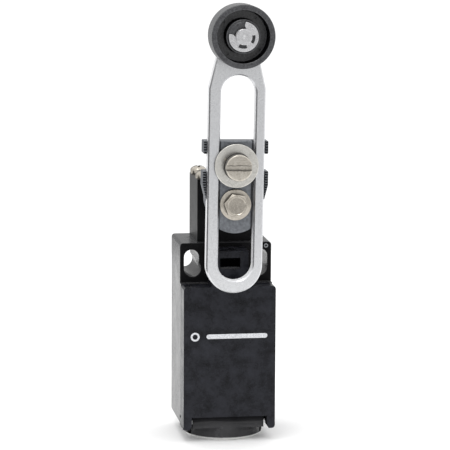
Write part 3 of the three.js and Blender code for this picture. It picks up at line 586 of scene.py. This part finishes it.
def flange_mark():
    """Small raised ring in the upper right corner of the flange."""
    face = BASE.flange_front
    z = box_mm("base_housing")[1].z - FLANGE_MARK.below_top
    back, front = face - FLANGE_MARK.sunk, face + FLANGE_MARK.proud
    profile = ring_profile(FLANGE_MARK.bore, FLANGE_MARK.radius, back, front)
    ring = turned(rounded(profile, FLANGE_MARK.edge, closed=True), about_y(FLANGE_MARK.x, z), 32, True)
    added(new_piece("flange_mark", ring), "housing", "grey_moulding")


def entry_ring_piece():
    """Flanged ring with the thread of the cable entry inside it."""
    low, high = box_mm("entry_ring")
    lip = high.x
    sleeve, lip_top = lip - ENTRY.lip_width, low.z + ENTRY.lip_height
    corners = [
        (ENTRY.bore + ENTRY.land, low.z), (lip, low.z), (lip, lip_top),
        (sleeve, lip_top), (sleeve, high.z),
    ]
    root_radius = ENTRY.bore + ENTRY.crest
    thread = []
    for turn in range(int((high.z - low.z - ENTRY.plain_foot) / ENTRY.pitch)):
        root = high.z - ENTRY.land - turn * ENTRY.pitch
        thread += [(root_radius, root), (ENTRY.bore, root - ENTRY.pitch / 2)]
    profile = rounded(corners, ENTRY.edge) + [(root_radius, high.z)] + thread
    ring = turned(profile, about_z(0, -(low.y + high.y) / 2), 96, True)
    stand_in(new_piece("entry_ring_thread", ring), "entry_ring")


def cover_piece():
    """Cover, with painted shade in black between its ears and in the screwdriver window."""
    low, high = box_mm("cover_shell")

    def between_ears(point):
        return abs(point.x) < high.x - COVER.ear_inset and point.z < COVER.ear_top

    def inside(point):
        """Edges inside the shell and between the ears stay sharp."""
        lined = abs(point.x) < high.x - COVER.lining and point.y > low.y + COVER.lining
        return (lined and low.z + COVER.shell_foot < point.z < COVER.shell_top) or between_ears(point)

    def in_ear_gap(centre, normal):
        return abs(normal.x) > 0.3 and between_ears(centre)

    def in_window(centre, normal):
        within = abs(centre.x) < COVER.window_half and COVER.window_bottom < centre.z < COVER.window_top
        return within and COVER.window_back < -centre.y < -low.y - COVER.lining and normal.z < 0.5

    piece = refined("cover_shell", HOUSING_EDGE, inside)
    stand_in(piece, "cover_shell")
    # Painted shade: black between the ears and in the screwdriver window.
    repaint(piece, "painted_recess_shade", in_ear_gap)
    repaint(piece, "painted_recess_shade", in_window)


def window_ledge():
    """Small step across the foot of the screwdriver window."""
    front = -box_mm("cover_shell")[0].y
    reach = COVER.window_half + LEDGE.overlap
    depths = (front - LEDGE.back, front - LEDGE.front)
    heights = (COVER.window_bottom - LEDGE.overlap, LEDGE.top)
    ledge = bar((-reach, reach), depths, heights, LEDGE.edge)
    added(new_piece("window_ledge", ledge), "cover", "base_nylon")


def cover_print():
    """Plain printed mark on the cover: a small ring and a slim bar."""
    front = -box_mm("cover_shell")[0].y
    rim, bore = (arc(PRINT.ring_x, PRINT.z, radius, 0, 360, 48) for radius in PRINT.ring_radii)
    (left, right), half = PRINT.bar_x, PRINT.bar_half
    right_end = arc(right - half, PRINT.z, half, -90, 90, 12)
    left_end = arc(left + half, PRINT.z, half, 90, 270, 12)
    for name, outline, holes in (("ring", rim, [bore]), ("bar", right_end + left_end, [])):
        film = plate(outline, holes, front - PRINT.sunk, front + PRINT.proud, PRINT.edge)
        added(new_piece("cover_mark_" + name, film), "cover", "printed_ink")


def head_piece():
    """Head tower; its front is made matt and dull as painted shade behind the lever."""
    high = box_mm("head_housing")[1]

    def inside(point):
        """Edges of the space for the cam stay sharp."""
        within = abs(point.x) < HEAD.cavity_half and HEAD.cavity[0] < -point.y < HEAD.cavity[1]
        return within and point.z < high.z - HEAD.roof

    tower = refined("head_housing", HOUSING_EDGE, inside)
    stand_in(tower, "head_housing", "head_nylon")
    # Painted shade: the front of the tower in the darker, matt finish.
    repaint(tower, "shaded_front_nylon", lambda centre, normal: normal.y < -0.9 and centre.y < -HEAD.front)


def head_screw_piece(node):
    """Pan-head screw with a cross recess, pointing down."""
    low, high = box_mm(node)
    top = high.z
    x, depth = (low.x + high.x) / 2, -(low.y + high.y) / 2
    head, shank, seat = (high.x - low.x) / 2, HEAD_SCREW.shank, top - HEAD_SCREW.height
    dome = bow((0, top), (head * HEAD_SCREW.shoulder, top), (head, top - HEAD_SCREW.side), 10)
    below = [dome[-1], (head, seat), (shank, seat), (shank, low.z), (0, low.z)]
    profile = dome + rounded(below, HEAD_SCREW.edge)[1:]
    screw = new_piece(node + "_turned", turned(profile, about_z(x, depth), 64))
    arm, half = HEAD_SCREW.arm, HEAD_SCREW.arm_half
    for reach_x, reach_y in ((arm, half), (half, arm)):
        sides = (x - reach_x, x + reach_x), (depth - reach_y, depth + reach_y)
        cross = bar(*sides, (top - HEAD_SCREW.recess, top + CLEAR))
        combine(screw, new_piece("recess", cross), "DIFFERENCE")
    stand_in(screw, node)


# ---------------------------------------------------------------- lever group

CARRIER = SimpleNamespace(
    foot=9.3, wing=10.45, wing_foot=6.1, wing_top=10.6, wing_taper=14,
    neck=6.8, bar=10.3, bar_bottom=16.1, bar_top=20.2, edge=0.3, corner=0.35,
    plate_back=34, channel_floor=36, tongue=5.1, cheek=9.3, screw_play=0.2,
    hub=7.8, hub_bore=6.3, hub_sunk=0.5, hub_edge=0.4,
    teeth_foot=1.8, pitch=0.8, groove=0.5, groove_share=0.48, groove_inset=0.3,
    shade_inset=0.4, shade_below=0.1,
)
HUB_SCREW = SimpleNamespace(
    flats=7, turn=40, shank=2, seat_gap=0.05, edge=0.12,
    flange_height=1.15, flange_inset=0.1, flange_rim=0.85, flange_edge=0.15,
    crown_inset=0.3, dish=0.25, dish_rim=0.25, dish_floor=0.55, chamfer=0.6,
    plain_top=0.3, plain_rim=0.7,
)
CLAMP = SimpleNamespace(
    z=12.45, shank=2.4, bore=2.7, washer_edge=0.25,
    lock_edge=0.15, split=0.8, split_angle=150,
    head_height=3.4, head_edge=0.45, side_top=0.5,
)
SLOT = SimpleNamespace(
    half=0.72, depth=1.5, mouth=0.2, flare=0.2, face_gap=0.01,
    torn=0.1, steps=16, shade_reach=0.4,
)
CLAMP_NUT = SimpleNamespace(flats=8, turn=30, bore=2.5, chamfer=0.5, face_inset=0.1, edge=0.1)
LEVER = SimpleNamespace(
    half_width=9, bottom=-28.4, shoulder=36.8, tip=4.9, edge=0.4, pivot=2.55,
    slot_x=0.35, slot_half=5.6, slot_bottom=-24.5, slot_top=41,
)
ROLLER = SimpleNamespace(
    rim=8.2, hub=5.4, hub_sunk=0.8, bore=3.45, lip_bore=2.65, lip_back=1.3,
    web_back=1, web_front=3.5, edge=0.4,
    groove=((4.5, 0), (4.6, 0.15), (4.85, 0.15), (4.95, 0)),
    pits=4, first_pit=52, pit_place=7.1, pit=0.5, pit_depth=0.6,
    pit_clear=0.5, wall_reach=0.1,
)
AXLE = SimpleNamespace(
    radius=2.5, edge=0.2, groove=1.9, groove_play=0.1,
    mark=((0, 0.2), (0.5, 0.02), (1.3, 0.02), (1.4, 0)),
    rivet=1.1, rivet_side=0.4, rivet_taper=0.7,
)
ROLLER_RINGS = {"roller_washer": 2.6, "roller_bush": 2.56}  # bore of each
RING_EDGE = 0.15
CLIP = SimpleNamespace(
    outer=4.7, horn=3.5, lug=2.0, relief=3.6, opening=(83, 171), throat=(60, 198),
    reliefs=((10, -36), (-72, -118)), horn_turn=4, corner=0.4, edge=0.12,
)


def carrier_outline():
    """Round foot, two wings that widen upwards, a neck and a cross bar."""
    taper = math.radians(CARRIER.wing_taper)
    waist = CARRIER.wing - math.tan(taper) * CARRIER.wing_foot
    foot_angle = math.degrees(math.acos(waist * math.cos(taper) / CARRIER.foot) + taper)
    right = [
        (CARRIER.wing, CARRIER.wing_foot), (CARRIER.wing, CARRIER.wing_top),
        (CARRIER.neck, CARRIER.wing_top), (CARRIER.neck, CARRIER.bar_bottom),
        (CARRIER.bar, CARRIER.bar_bottom), (CARRIER.bar, CARRIER.bar_top),
    ]
    left = [(-x, z) for x, z in reversed(right)]
    foot = arc(0, 0, CARRIER.foot, 180 + foot_angle, 360 - foot_angle, 48)
    corners = rounded([foot[-1], *right, *left, foot[0]], CARRIER.corner)
    return foot + corners[1:-1]


def add_bar(solid, sections):
    """Closed bar through sections that have matching corners."""
    rings = [[solid.verts.new(corner) for corner in section] for section in sections]
    solid.faces.new(rings[0])
    solid.faces.new(rings[-1][::-1])
    for first, second in zip(rings, rings[1:]):
        for i in range(len(first)):
            solid.faces.new((first[i - 1], first[i], second[i], second[i - 1]))


def serration_tool(front):
    """Level grooves across the cheeks of the wings and of the cross bar."""
    proud = -front - SLIGHT
    inner, outer = CARRIER.cheek - CARRIER.groove_inset, CARRIER.wing + CLEAR
    solid = bmesh.new()
    for low, high in ((CARRIER.teeth_foot, CARRIER.wing_top), (CARRIER.bar_bottom, CARRIER.bar_top)):
        count = round((high - low) / CARRIER.pitch)
        pitch = (high - low) / count
        half = pitch * CARRIER.groove_share
        for z in [low + (i + 0.5) * pitch for i in range(count)]:
            section = [(proud, z - half), (CARRIER.groove - front, z), (proud, z + half)]
            for ends in ((inner, outer), (-outer, -inner)):
                add_bar(solid, [[(x, y, up) for y, up in section] for x in ends])
    return new_piece("serrations", solid, SHAFT_FRAME)


def channel_tool(front):
    """Two upright channels for the limbs of the lever, flared at their mouths."""
    inner, outer, edge = CARRIER.tongue, CARRIER.cheek, CARRIER.edge
    section = [
        (inner, CARRIER.channel_floor), (outer, CARRIER.channel_floor), (outer, front - edge),
        (outer + edge, front + SLIGHT), (inner - edge, front + SLIGHT), (inner, front - edge),
    ]
    heights = (-CARRIER.foot - CLEAR, CARRIER.bar_top + CLEAR)
    solid = bmesh.new()
    for side in (-1, 1):
        add_bar(solid, [[(side * x, -depth, z) for x, depth in section] for z in heights])
    return new_piece("channels", solid, SHAFT_FRAME)


def carrier_piece():
    """Casting with its hub behind, cut out for the lever and serrated in front, with painted shade under its
    teeth.
    """
    at = Round("lever_carrier")
    bores = [(0, HUB_SCREW.shank), (CLAMP.z, CLAMP.shank)]
    holes = [arc(0, z, radius + CARRIER.screw_play, 0, 360, 48) for z, radius in bores]
    casting = plate(carrier_outline(), holes, CARRIER.plate_back, at.front, CARRIER.edge)
    body = new_piece("carrier_casting", casting, SHAFT_FRAME)
    combine(body, channel_tool(at.front), "DIFFERENCE")
    tube = ring_profile(CARRIER.hub_bore, CARRIER.hub, at.back, CARRIER.plate_back + CARRIER.hub_sunk)
    hub = turned(rounded(tube, CARRIER.hub_edge, closed=True), about_y(0, SHAFT.z), closed=True)
    combine(body, new_piece("hub", hub), "UNION")
    combine(body, serration_tool(at.front), "DIFFERENCE")
    stand_in(body, "lever_carrier")

    def under_tooth(centre, normal):
        in_groove = -centre.y > at.front - CARRIER.groove - CARRIER.shade_below
        on_cheek = abs(centre.x) > CARRIER.cheek - CARRIER.shade_inset
        return in_groove and on_cheek and normal.z < -0.3 and normal.y < -0.2

    # Painted shade: black under the teeth.
    repaint(body, "painted_recess_shade", under_tooth)


def hexagon_corner(flats):
    """Distance from the middle of a hexagon to its corners."""
    return flats / math.sqrt(3)


def hexagon(flats, turn):
    """Corners of a hexagon, turned by so many degrees."""
    corner = hexagon_corner(flats)
    angles = [math.radians(turn + 60 * side) for side in range(6)]
    return [Vector((corner * math.sin(angle), corner * math.cos(angle))) for angle in angles]


def hub_screw_cap(at, seat):
    """Profile that cuts the hexagon: a chamfered crown with a shallow dish in it."""
    crown, reach = HUB_SCREW.flats / 2 - HUB_SCREW.crown_inset, hexagon_corner(HUB_SCREW.flats) + SLIGHT
    dish = at.front - HUB_SCREW.dish
    return [
        (0, dish), (crown - HUB_SCREW.dish_floor, dish), (crown - HUB_SCREW.dish_rim, at.front),
        (crown, at.front), (reach, at.front - HUB_SCREW.chamfer), (reach, seat - SLIGHT),
        (0, seat - SLIGHT),
    ]


def hub_screw_flange(at, seat):
    """Profile of the flange under the hexagon and of the shank."""
    top, foot = seat + HUB_SCREW.flange_height, hexagon_corner(HUB_SCREW.flats) - HUB_SCREW.flange_inset
    return [
        (0, top), (foot, top), (at.radius, seat + HUB_SCREW.flange_rim), (at.radius, seat),
        (HUB_SCREW.shank, seat), (HUB_SCREW.shank, at.back), (0, at.back),
    ]


def hub_screw_piece():
    """Hexagon screw with a pressed flange; its walls are painted darker than its top, as painted shade."""
    at = Round("hub_screw")
    seat = Round("lever_carrier").front + HUB_SCREW.seat_gap
    hexagonal = plate(hexagon(HUB_SCREW.flats, HUB_SCREW.turn), [], seat, at.front, HUB_SCREW.edge)
    head = new_piece("hub_screw_turned", hexagonal, at.leaning())
    cap = turned_piece("cap", hub_screw_cap(at, seat), at, HUB_SCREW.edge)
    combine(head, cap, "INTERSECT")
    rim = turned_piece("rim", hub_screw_flange(at, seat), at, HUB_SCREW.flange_edge)
    combine(head, rim, "UNION")
    stand_in(head, "hub_screw")

    def on_wall(centre, normal):
        on_hexagon = seat + HUB_SCREW.flange_height < -centre.y < at.front - HUB_SCREW.plain_top
        return (on_hexagon or -centre.y < seat + HUB_SCREW.plain_rim) and abs(normal.y) < 0.5

    # Painted shade: the hexagon walls in darker steel.
    repaint(head, "painted_shade_steel", on_wall)


def clamp_washer_piece():
    """Large bright washer whose rim is painted darker, as painted shade."""
    disc = ring_piece("clamp_washer", CLAMP.bore, CLAMP.washer_edge)
    stand_in(disc, "clamp_washer", "washer_plate")
    # Painted shade on the rim.
    repaint(disc, "shaded_plate", lambda centre, normal: abs(normal.y) < 0.5)


def lock_washer_piece():
    """Spring washer with the split in its ring, painted dark all over as shade beside the screw head."""
    at, half = Round("lock_washer"), CLAMP.split / 2
    spring = ring_piece("lock_washer", CLAMP.bore, CLAMP.lock_edge)
    split = bar((0, at.radius + CLEAR), (at.back - CLEAR, at.front + CLEAR), (-half, half))
    combine(spring, new_piece("split", split, at.leaning(CLAMP.split_angle)), "DIFFERENCE")
    # Painted shade: the whole spring washer in the darker plate finish.
    stand_in(spring, "lock_washer", "shaded_plate")


def clamp_screw_piece():
    """Cheese-head screw with a slot torn by a driver; painted shade darkens the slot and the side of the head."""
    at = Round("clamp_screw")
    seat, shank = at.front - CLAMP.head_height, CLAMP.shank
    profile = [
        (0, at.front), (at.radius, at.front), (at.radius, seat),
        (shank, seat), (shank, at.back), (0, at.back),
    ]
    screw = turned_piece("clamp_screw_turned", profile, at, CLAMP.head_edge)
    combine(screw, slot_tool(at), "DIFFERENCE")
    stand_in(screw, "clamp_screw", "bright_nickel")

    def in_slot(centre, normal):
        near = abs(centre.z - at.z) < SLOT.half + SLOT.shade_reach
        return near and -centre.y > seat and abs(normal.z) > 0.3

    def on_side(centre, normal):
        return -centre.y < at.front - CLAMP.side_top and abs(normal.y) < 0.3

    # Painted shade: darker steel in the slot.
    repaint(screw, "painted_shade_steel", in_slot)
    # Painted shade: the side of the head in the darker plate finish.
    repaint(screw, "shaded_plate", on_side)


def slot_tool(at):
    """Slot tool with a flared mouth and the slightly torn edges that a driver leaves."""
    random.seed(11)
    reach, half, flare, torn = at.radius + CLEAR, SLOT.half, SLOT.flare, SLOT.torn
    floor_depth, mouth = at.front - SLOT.depth, at.front - SLOT.mouth
    face, outside = at.front + SLOT.face_gap, at.front + CLEAR
    sections = []
    for step in range(SLOT.steps + 1):
        x = -reach + 2 * reach * step / SLOT.steps
        upper = half + random.uniform(-torn, torn)
        lower = -half + random.uniform(-torn, torn)
        corners = [
            (lower, floor_depth), (upper, floor_depth), (upper, mouth), (upper + flare, face),
            (upper + flare, outside), (lower - flare, outside), (lower - flare, face), (lower, mouth),
        ]
        sections.append([(x, -depth, z) for z, depth in corners])
    solid = bmesh.new()
    add_bar(solid, sections)
    return new_piece("slot", solid, at.leaning())


def clamp_nut_piece():
    """Hexagon nut, chamfered on both faces."""
    at = Round("clamp_nut")
    hexagonal = plate(hexagon(CLAMP_NUT.flats, CLAMP_NUT.turn), [], at.back, at.front, CLAMP_NUT.edge)
    nut = new_piece("clamp_nut_turned", hexagonal, at.leaning())
    face, reach = CLAMP_NUT.flats / 2 - CLAMP_NUT.face_inset, hexagon_corner(CLAMP_NUT.flats) + SLIGHT
    cap = [
        (CLAMP_NUT.bore, at.front), (face, at.front), (reach, at.front - CLAMP_NUT.chamfer),
        (reach, at.back + CLAMP_NUT.chamfer), (face, at.back), (CLAMP_NUT.bore, at.back),
    ]
    combine(nut, new_piece("cap", turned(cap, at.place(), closed=True)), "INTERSECT")
    stand_in(nut, "clamp_nut")


def roller_centre():
    """Roller axis in the shaft's leaning frame."""
    at = Round("roller")
    return SHAFT_FRAME.inverted() @ Vector((at.x, 0, at.z))


def lever_outline(tip_z):
    """Round foot, straight flanks and a round tip about the roller's axis."""
    half, shoulder, tip = LEVER.half_width, LEVER.shoulder, LEVER.tip
    rise = tip_z - shoulder
    tip_angle = math.degrees(math.acos(tip / math.hypot(half, rise)) - math.atan2(rise, half))
    foot = arc(0, LEVER.bottom + half, half, 180, 360, 64)
    crown = arc(0, tip_z, tip, tip_angle, 180 - tip_angle, 48)
    return foot + [Vector((half, shoulder))] + crown + [Vector((-half, shoulder))]


def lever_piece():
    """Flat stamping with one long slot, its edges chamfered."""
    at, tip_z = Round("lever_plate"), roller_centre().z
    x, half = LEVER.slot_x, LEVER.slot_half
    slot = arc(x, LEVER.slot_bottom + half, half, 180, 360, 48)
    slot += arc(x, LEVER.slot_top - half, half, 0, 180, 48)
    pivot = arc(0, tip_z, LEVER.pivot, 0, 360, 48)
    solid = plate(lever_outline(tip_z), [slot, pivot], at.back, at.front, LEVER.edge, steps=1)
    stamping = new_piece("lever_stamping", solid, SHAFT_FRAME)
    stand_in(stamping, "lever_plate")
    repaint(stamping, "sheared_steel", lambda centre, normal: abs(normal.y) < 0.1)


def roller_profile(at):
    """Tread, rim, web and hub, with a groove in the hub's face and a lip in front of the bush."""
    hub_front, lip_back = at.front - ROLLER.hub_sunk, at.front - ROLLER.lip_back
    web_front, web_back = at.back + ROLLER.web_front, at.back + ROLLER.web_back
    groove = [(radius, hub_front - drop) for radius, drop in ROLLER.groove]
    return [
        (ROLLER.lip_bore, hub_front), *groove, (ROLLER.hub, hub_front), (ROLLER.hub, web_front),
        (ROLLER.rim, web_front), (ROLLER.rim, at.front), (at.radius, at.front), (at.radius, at.back),
        (ROLLER.rim, at.back), (ROLLER.rim, web_back), (ROLLER.hub, web_back), (ROLLER.hub, at.back),
        (ROLLER.bore, at.back), (ROLLER.bore, lip_back), (ROLLER.lip_bore, lip_back),
    ]


def roller_piece():
    """Roller with a deep ring-shaped recess in front and a shallow one behind; the walls inside the rim are
    painted black as shade.
    """
    at = Round("roller")
    piece = turned_piece("roller_tyre", roller_profile(at), at, ROLLER.edge, 128, True)
    web = at.back + ROLLER.web_front
    top, foot = web + ROLLER.pit_clear, web - ROLLER.pit_depth
    pit = [(0, top), (ROLLER.pit, top), (ROLLER.pit, foot), (0, foot)]
    for number in range(ROLLER.pits):
        angle = math.radians(ROLLER.first_pit + 360 / ROLLER.pits * number)
        x, z = at.x + ROLLER.pit_place * math.cos(angle), at.z + ROLLER.pit_place * math.sin(angle)
        combine(piece, new_piece("pit", turned(pit, about_y(x, z), 24)), "DIFFERENCE")
    stand_in(piece, "roller")

    def on_inner_wall(centre, normal):
        reach = math.hypot(centre.x - at.x, centre.z - at.z)
        return reach < ROLLER.rim + ROLLER.wall_reach and abs(normal.y) < 0.4

    # Painted shade: black on the walls inside the rim.
    repaint(piece, "painted_recess_shade", on_inner_wall)


def axle_piece():
    """Pin with a centre mark in front, a groove for the clip and a riveted head behind."""
    at, clip = Round("roller_axle"), Round("e_clip")
    groove_top, groove_foot = clip.front + AXLE.groove_play, clip.back - AXLE.groove_play
    radius, groove, head_top = AXLE.radius, AXLE.groove, at.back + AXLE.rivet
    profile = [(reach, at.front - drop) for reach, drop in AXLE.mark]
    profile += [
        (radius, at.front), (radius, groove_top), (groove, groove_top), (groove, groove_foot),
        (radius, groove_foot), (radius, head_top), (at.radius, head_top),
        (at.radius, at.back + AXLE.rivet_side), (at.radius - AXLE.rivet_taper, at.back), (0, at.back),
    ]
    pin = turned_piece("roller_axle_turned", profile, at, AXLE.edge, 64)
    stand_in(pin, "roller_axle", "spring_steel")


def clip_piece():
    """Spring clip with three lugs on the groove; it opens up and to the left."""
    at, tip = Round("e_clip"), roller_centre()
    right, left = CLIP.opening[0], CLIP.opening[1] - 360
    outline = arc(0, 0, CLIP.outer, left, right, 64)
    outline += arc(0, 0, CLIP.horn, right + CLIP.horn_turn, right + CLIP.horn_turn, 1)
    lug_start = CLIP.throat[0]
    for start, end in CLIP.reliefs:
        outline += arc(0, 0, CLIP.lug, lug_start, start, 12)
        outline += arc(0, 0, CLIP.relief, start, end, 12)
        lug_start = end
    outline += arc(0, 0, CLIP.lug, lug_start, CLIP.throat[1] - 360, 12)
    outline += arc(0, 0, CLIP.horn, left - CLIP.horn_turn, left - CLIP.horn_turn, 1)
    outline = rounded(directed(outline, 1), CLIP.corner, closed=True)
    matrix = SHAFT_FRAME @ Matrix.Translation((tip.x, 0, tip.z))
    spring = new_piece("e_clip_spring", plate(outline, [], at.back, at.front, CLIP.edge), matrix)
    stand_in(spring, "e_clip")


# ---------------------------------------------------------------- nodes that stay as they are


def finish_carried_nodes():
    """Every CAD node that still shows gets the finish of its slot."""
    for name, node in frame["nodes"].items():
        if node.hide_render:
            continue
        if not node.material_slots:
            node.data.materials.append(None)
        for place in node.material_slots:
            place.material = FINISHES[SLOT_OF[name]]


# ---------------------------------------------------------------- floor, light and camera

FLOOR = SimpleNamespace(left=-0.14, right=0.5, front=-0.3, back=0.34)


def floor():
    """Plain pale floor under the cable entry; it ends where the white air looks the same."""
    corners = [
        (FLOOR.left, FLOOR.front), (FLOOR.right, FLOOR.front),
        (FLOOR.right, FLOOR.back), (FLOOR.left, FLOOR.back),
    ]
    sheet = bmesh.new()
    places = [(x / MM, y / MM, cad_box[0].z / MM) for x, y in corners]
    sheet.faces.new([sheet.verts.new(place) for place in places])
    ground = new_piece("floor", sheet)
    finish = Finish("floor")
    clouds = finish.noise(60, detail=2.0)
    finish.colour(clouds, (0.3, (0.93, 0.93, 0.93, 1)), (0.7, (0.95, 0.95, 0.95, 1)))
    finish.shader.inputs["Roughness"].default_value = 0.9
    finish.shader.inputs["Specular IOR Level"].default_value = 0.1
    ground.data.materials.append(finish.material)


BACKDROP = 1.1  # brightness of the white that the camera sees behind the object

# Where the white room is brighter or darker for everything else: direction, cosines where the
# patch starts and is full, and its brightness.
AIR_PATCHES = (
    (Vector((0, 0, 1)), 0.0, 0.7, 1.35),
    (Vector((0.15, -0.97, -0.15)), 0.7, 0.92, 0.72),
    (Vector((-0.2, 0.97, 0.0)), 0.8, 0.95, 0.55),
    (Vector((-0.95, -0.13, -0.155)), 0.93, 0.975, 0.0),
)


def studio_air():
    """White room: bright above, calmer in front and behind, with one dark card on the left."""
    world = bpy.data.worlds.new("studio")
    world.use_nodes = True
    bpy.context.scene.world = world
    nodes, links = world.node_tree.nodes, world.node_tree.links
    ahead = nodes.new("ShaderNodeTexCoord").outputs["Generated"]

    def mix(factor, first, second):
        node = nodes.new("ShaderNodeMix")
        links.new(factor, node.inputs["Factor"])
        if isinstance(first, float):
            node.inputs["A"].default_value = first
        else:
            links.new(first, node.inputs["A"])
        node.inputs["B"].default_value = second
        return node.outputs["Result"]

    level = 1.0
    for direction, start, full, brightness in AIR_PATCHES:
        facing = nodes.new("ShaderNodeVectorMath")
        facing.operation = "DOT_PRODUCT"
        facing.inputs[1].default_value = direction.normalized()
        links.new(ahead, facing.inputs[0])
        share = nodes.new("ShaderNodeMapRange")
        share.interpolation_type = "SMOOTHSTEP"
        share.inputs["From Min"].default_value = start
        share.inputs["From Max"].default_value = full
        links.new(facing.outputs["Value"], share.inputs["Value"])
        level = mix(share.outputs["Result"], level, brightness)
    seen = nodes.new("ShaderNodeLightPath").outputs["Is Camera Ray"]
    background = nodes["Background"]
    background.inputs["Color"].default_value = (1, 1, 1, 1)
    links.new(mix(seen, level, BACKDROP), background.inputs["Strength"])


KEY_LIGHT = SimpleNamespace(offset=(-0.15, -0.35, 0.75), size=(0.4, 0.3), power=1.6)


def key_light():
    """One soft light high in front, a little to the left."""
    middle = (cad_box[0] + cad_box[1]) / 2
    place = middle + Vector(KEY_LIGHT.offset)
    light = bpy.data.lights.new("key", "AREA")
    light.shape = "RECTANGLE"
    light.size, light.size_y = KEY_LIGHT.size
    light.energy = KEY_LIGHT.power
    lamp = bpy.data.objects.new("key", light)
    bpy.context.scene.collection.objects.link(lamp)
    lamp.location = place
    lamp.rotation_euler = (middle - place).to_track_quat("-Z", "Y").to_euler()


# Metres, millimetres of lens, and degrees to the right, downwards and round the line of sight.
CAMERA = SimpleNamespace(
    place=(-0.12041, -0.78921, 0.13424), sensor=36, lens=194.2,
    yaw=8.883, pitch=8.908, roll=0.281,
)


def camera():
    """Camera in front, a little to the left and above, with no shift and no blur."""
    angles = (CAMERA.yaw, CAMERA.pitch, CAMERA.roll)
    yaw, pitch, roll = (math.radians(angle) for angle in angles)
    level = math.cos(pitch)
    ahead = Vector((math.sin(yaw) * level, math.cos(yaw) * level, -math.sin(pitch)))
    lens = bpy.data.cameras.new("camera")
    lens.sensor_width = CAMERA.sensor
    lens.lens = CAMERA.lens
    lens.dof.use_dof = False
    eye = bpy.data.objects.new("camera", lens)
    bpy.context.scene.collection.objects.link(eye)
    eye.location = CAMERA.place
    turn = ahead.to_track_quat("-Z", "Y").to_matrix() @ Matrix.Rotation(roll, 3, "Z")
    eye.rotation_euler = turn.to_euler()
    bpy.context.scene.camera = eye
    bpy.context.scene.view_settings.view_transform = "Standard"


base_piece()
flange_mark()
entry_ring_piece()
cover_piece()
window_ledge()
cover_print()
head_piece()
for number in range(1, 5):
    head_screw_piece(f"head_screw_{number}")
carrier_piece()
hub_screw_piece()
clamp_washer_piece()
lock_washer_piece()
clamp_screw_piece()
clamp_nut_piece()
lever_piece()
roller_piece()
axle_piece()
for node, bore in ROLLER_RINGS.items():
    stand_in(ring_piece(node, bore, RING_EDGE), node)
clip_piece()
finish_carried_nodes()
floor()
studio_air()
key_light()
camera()
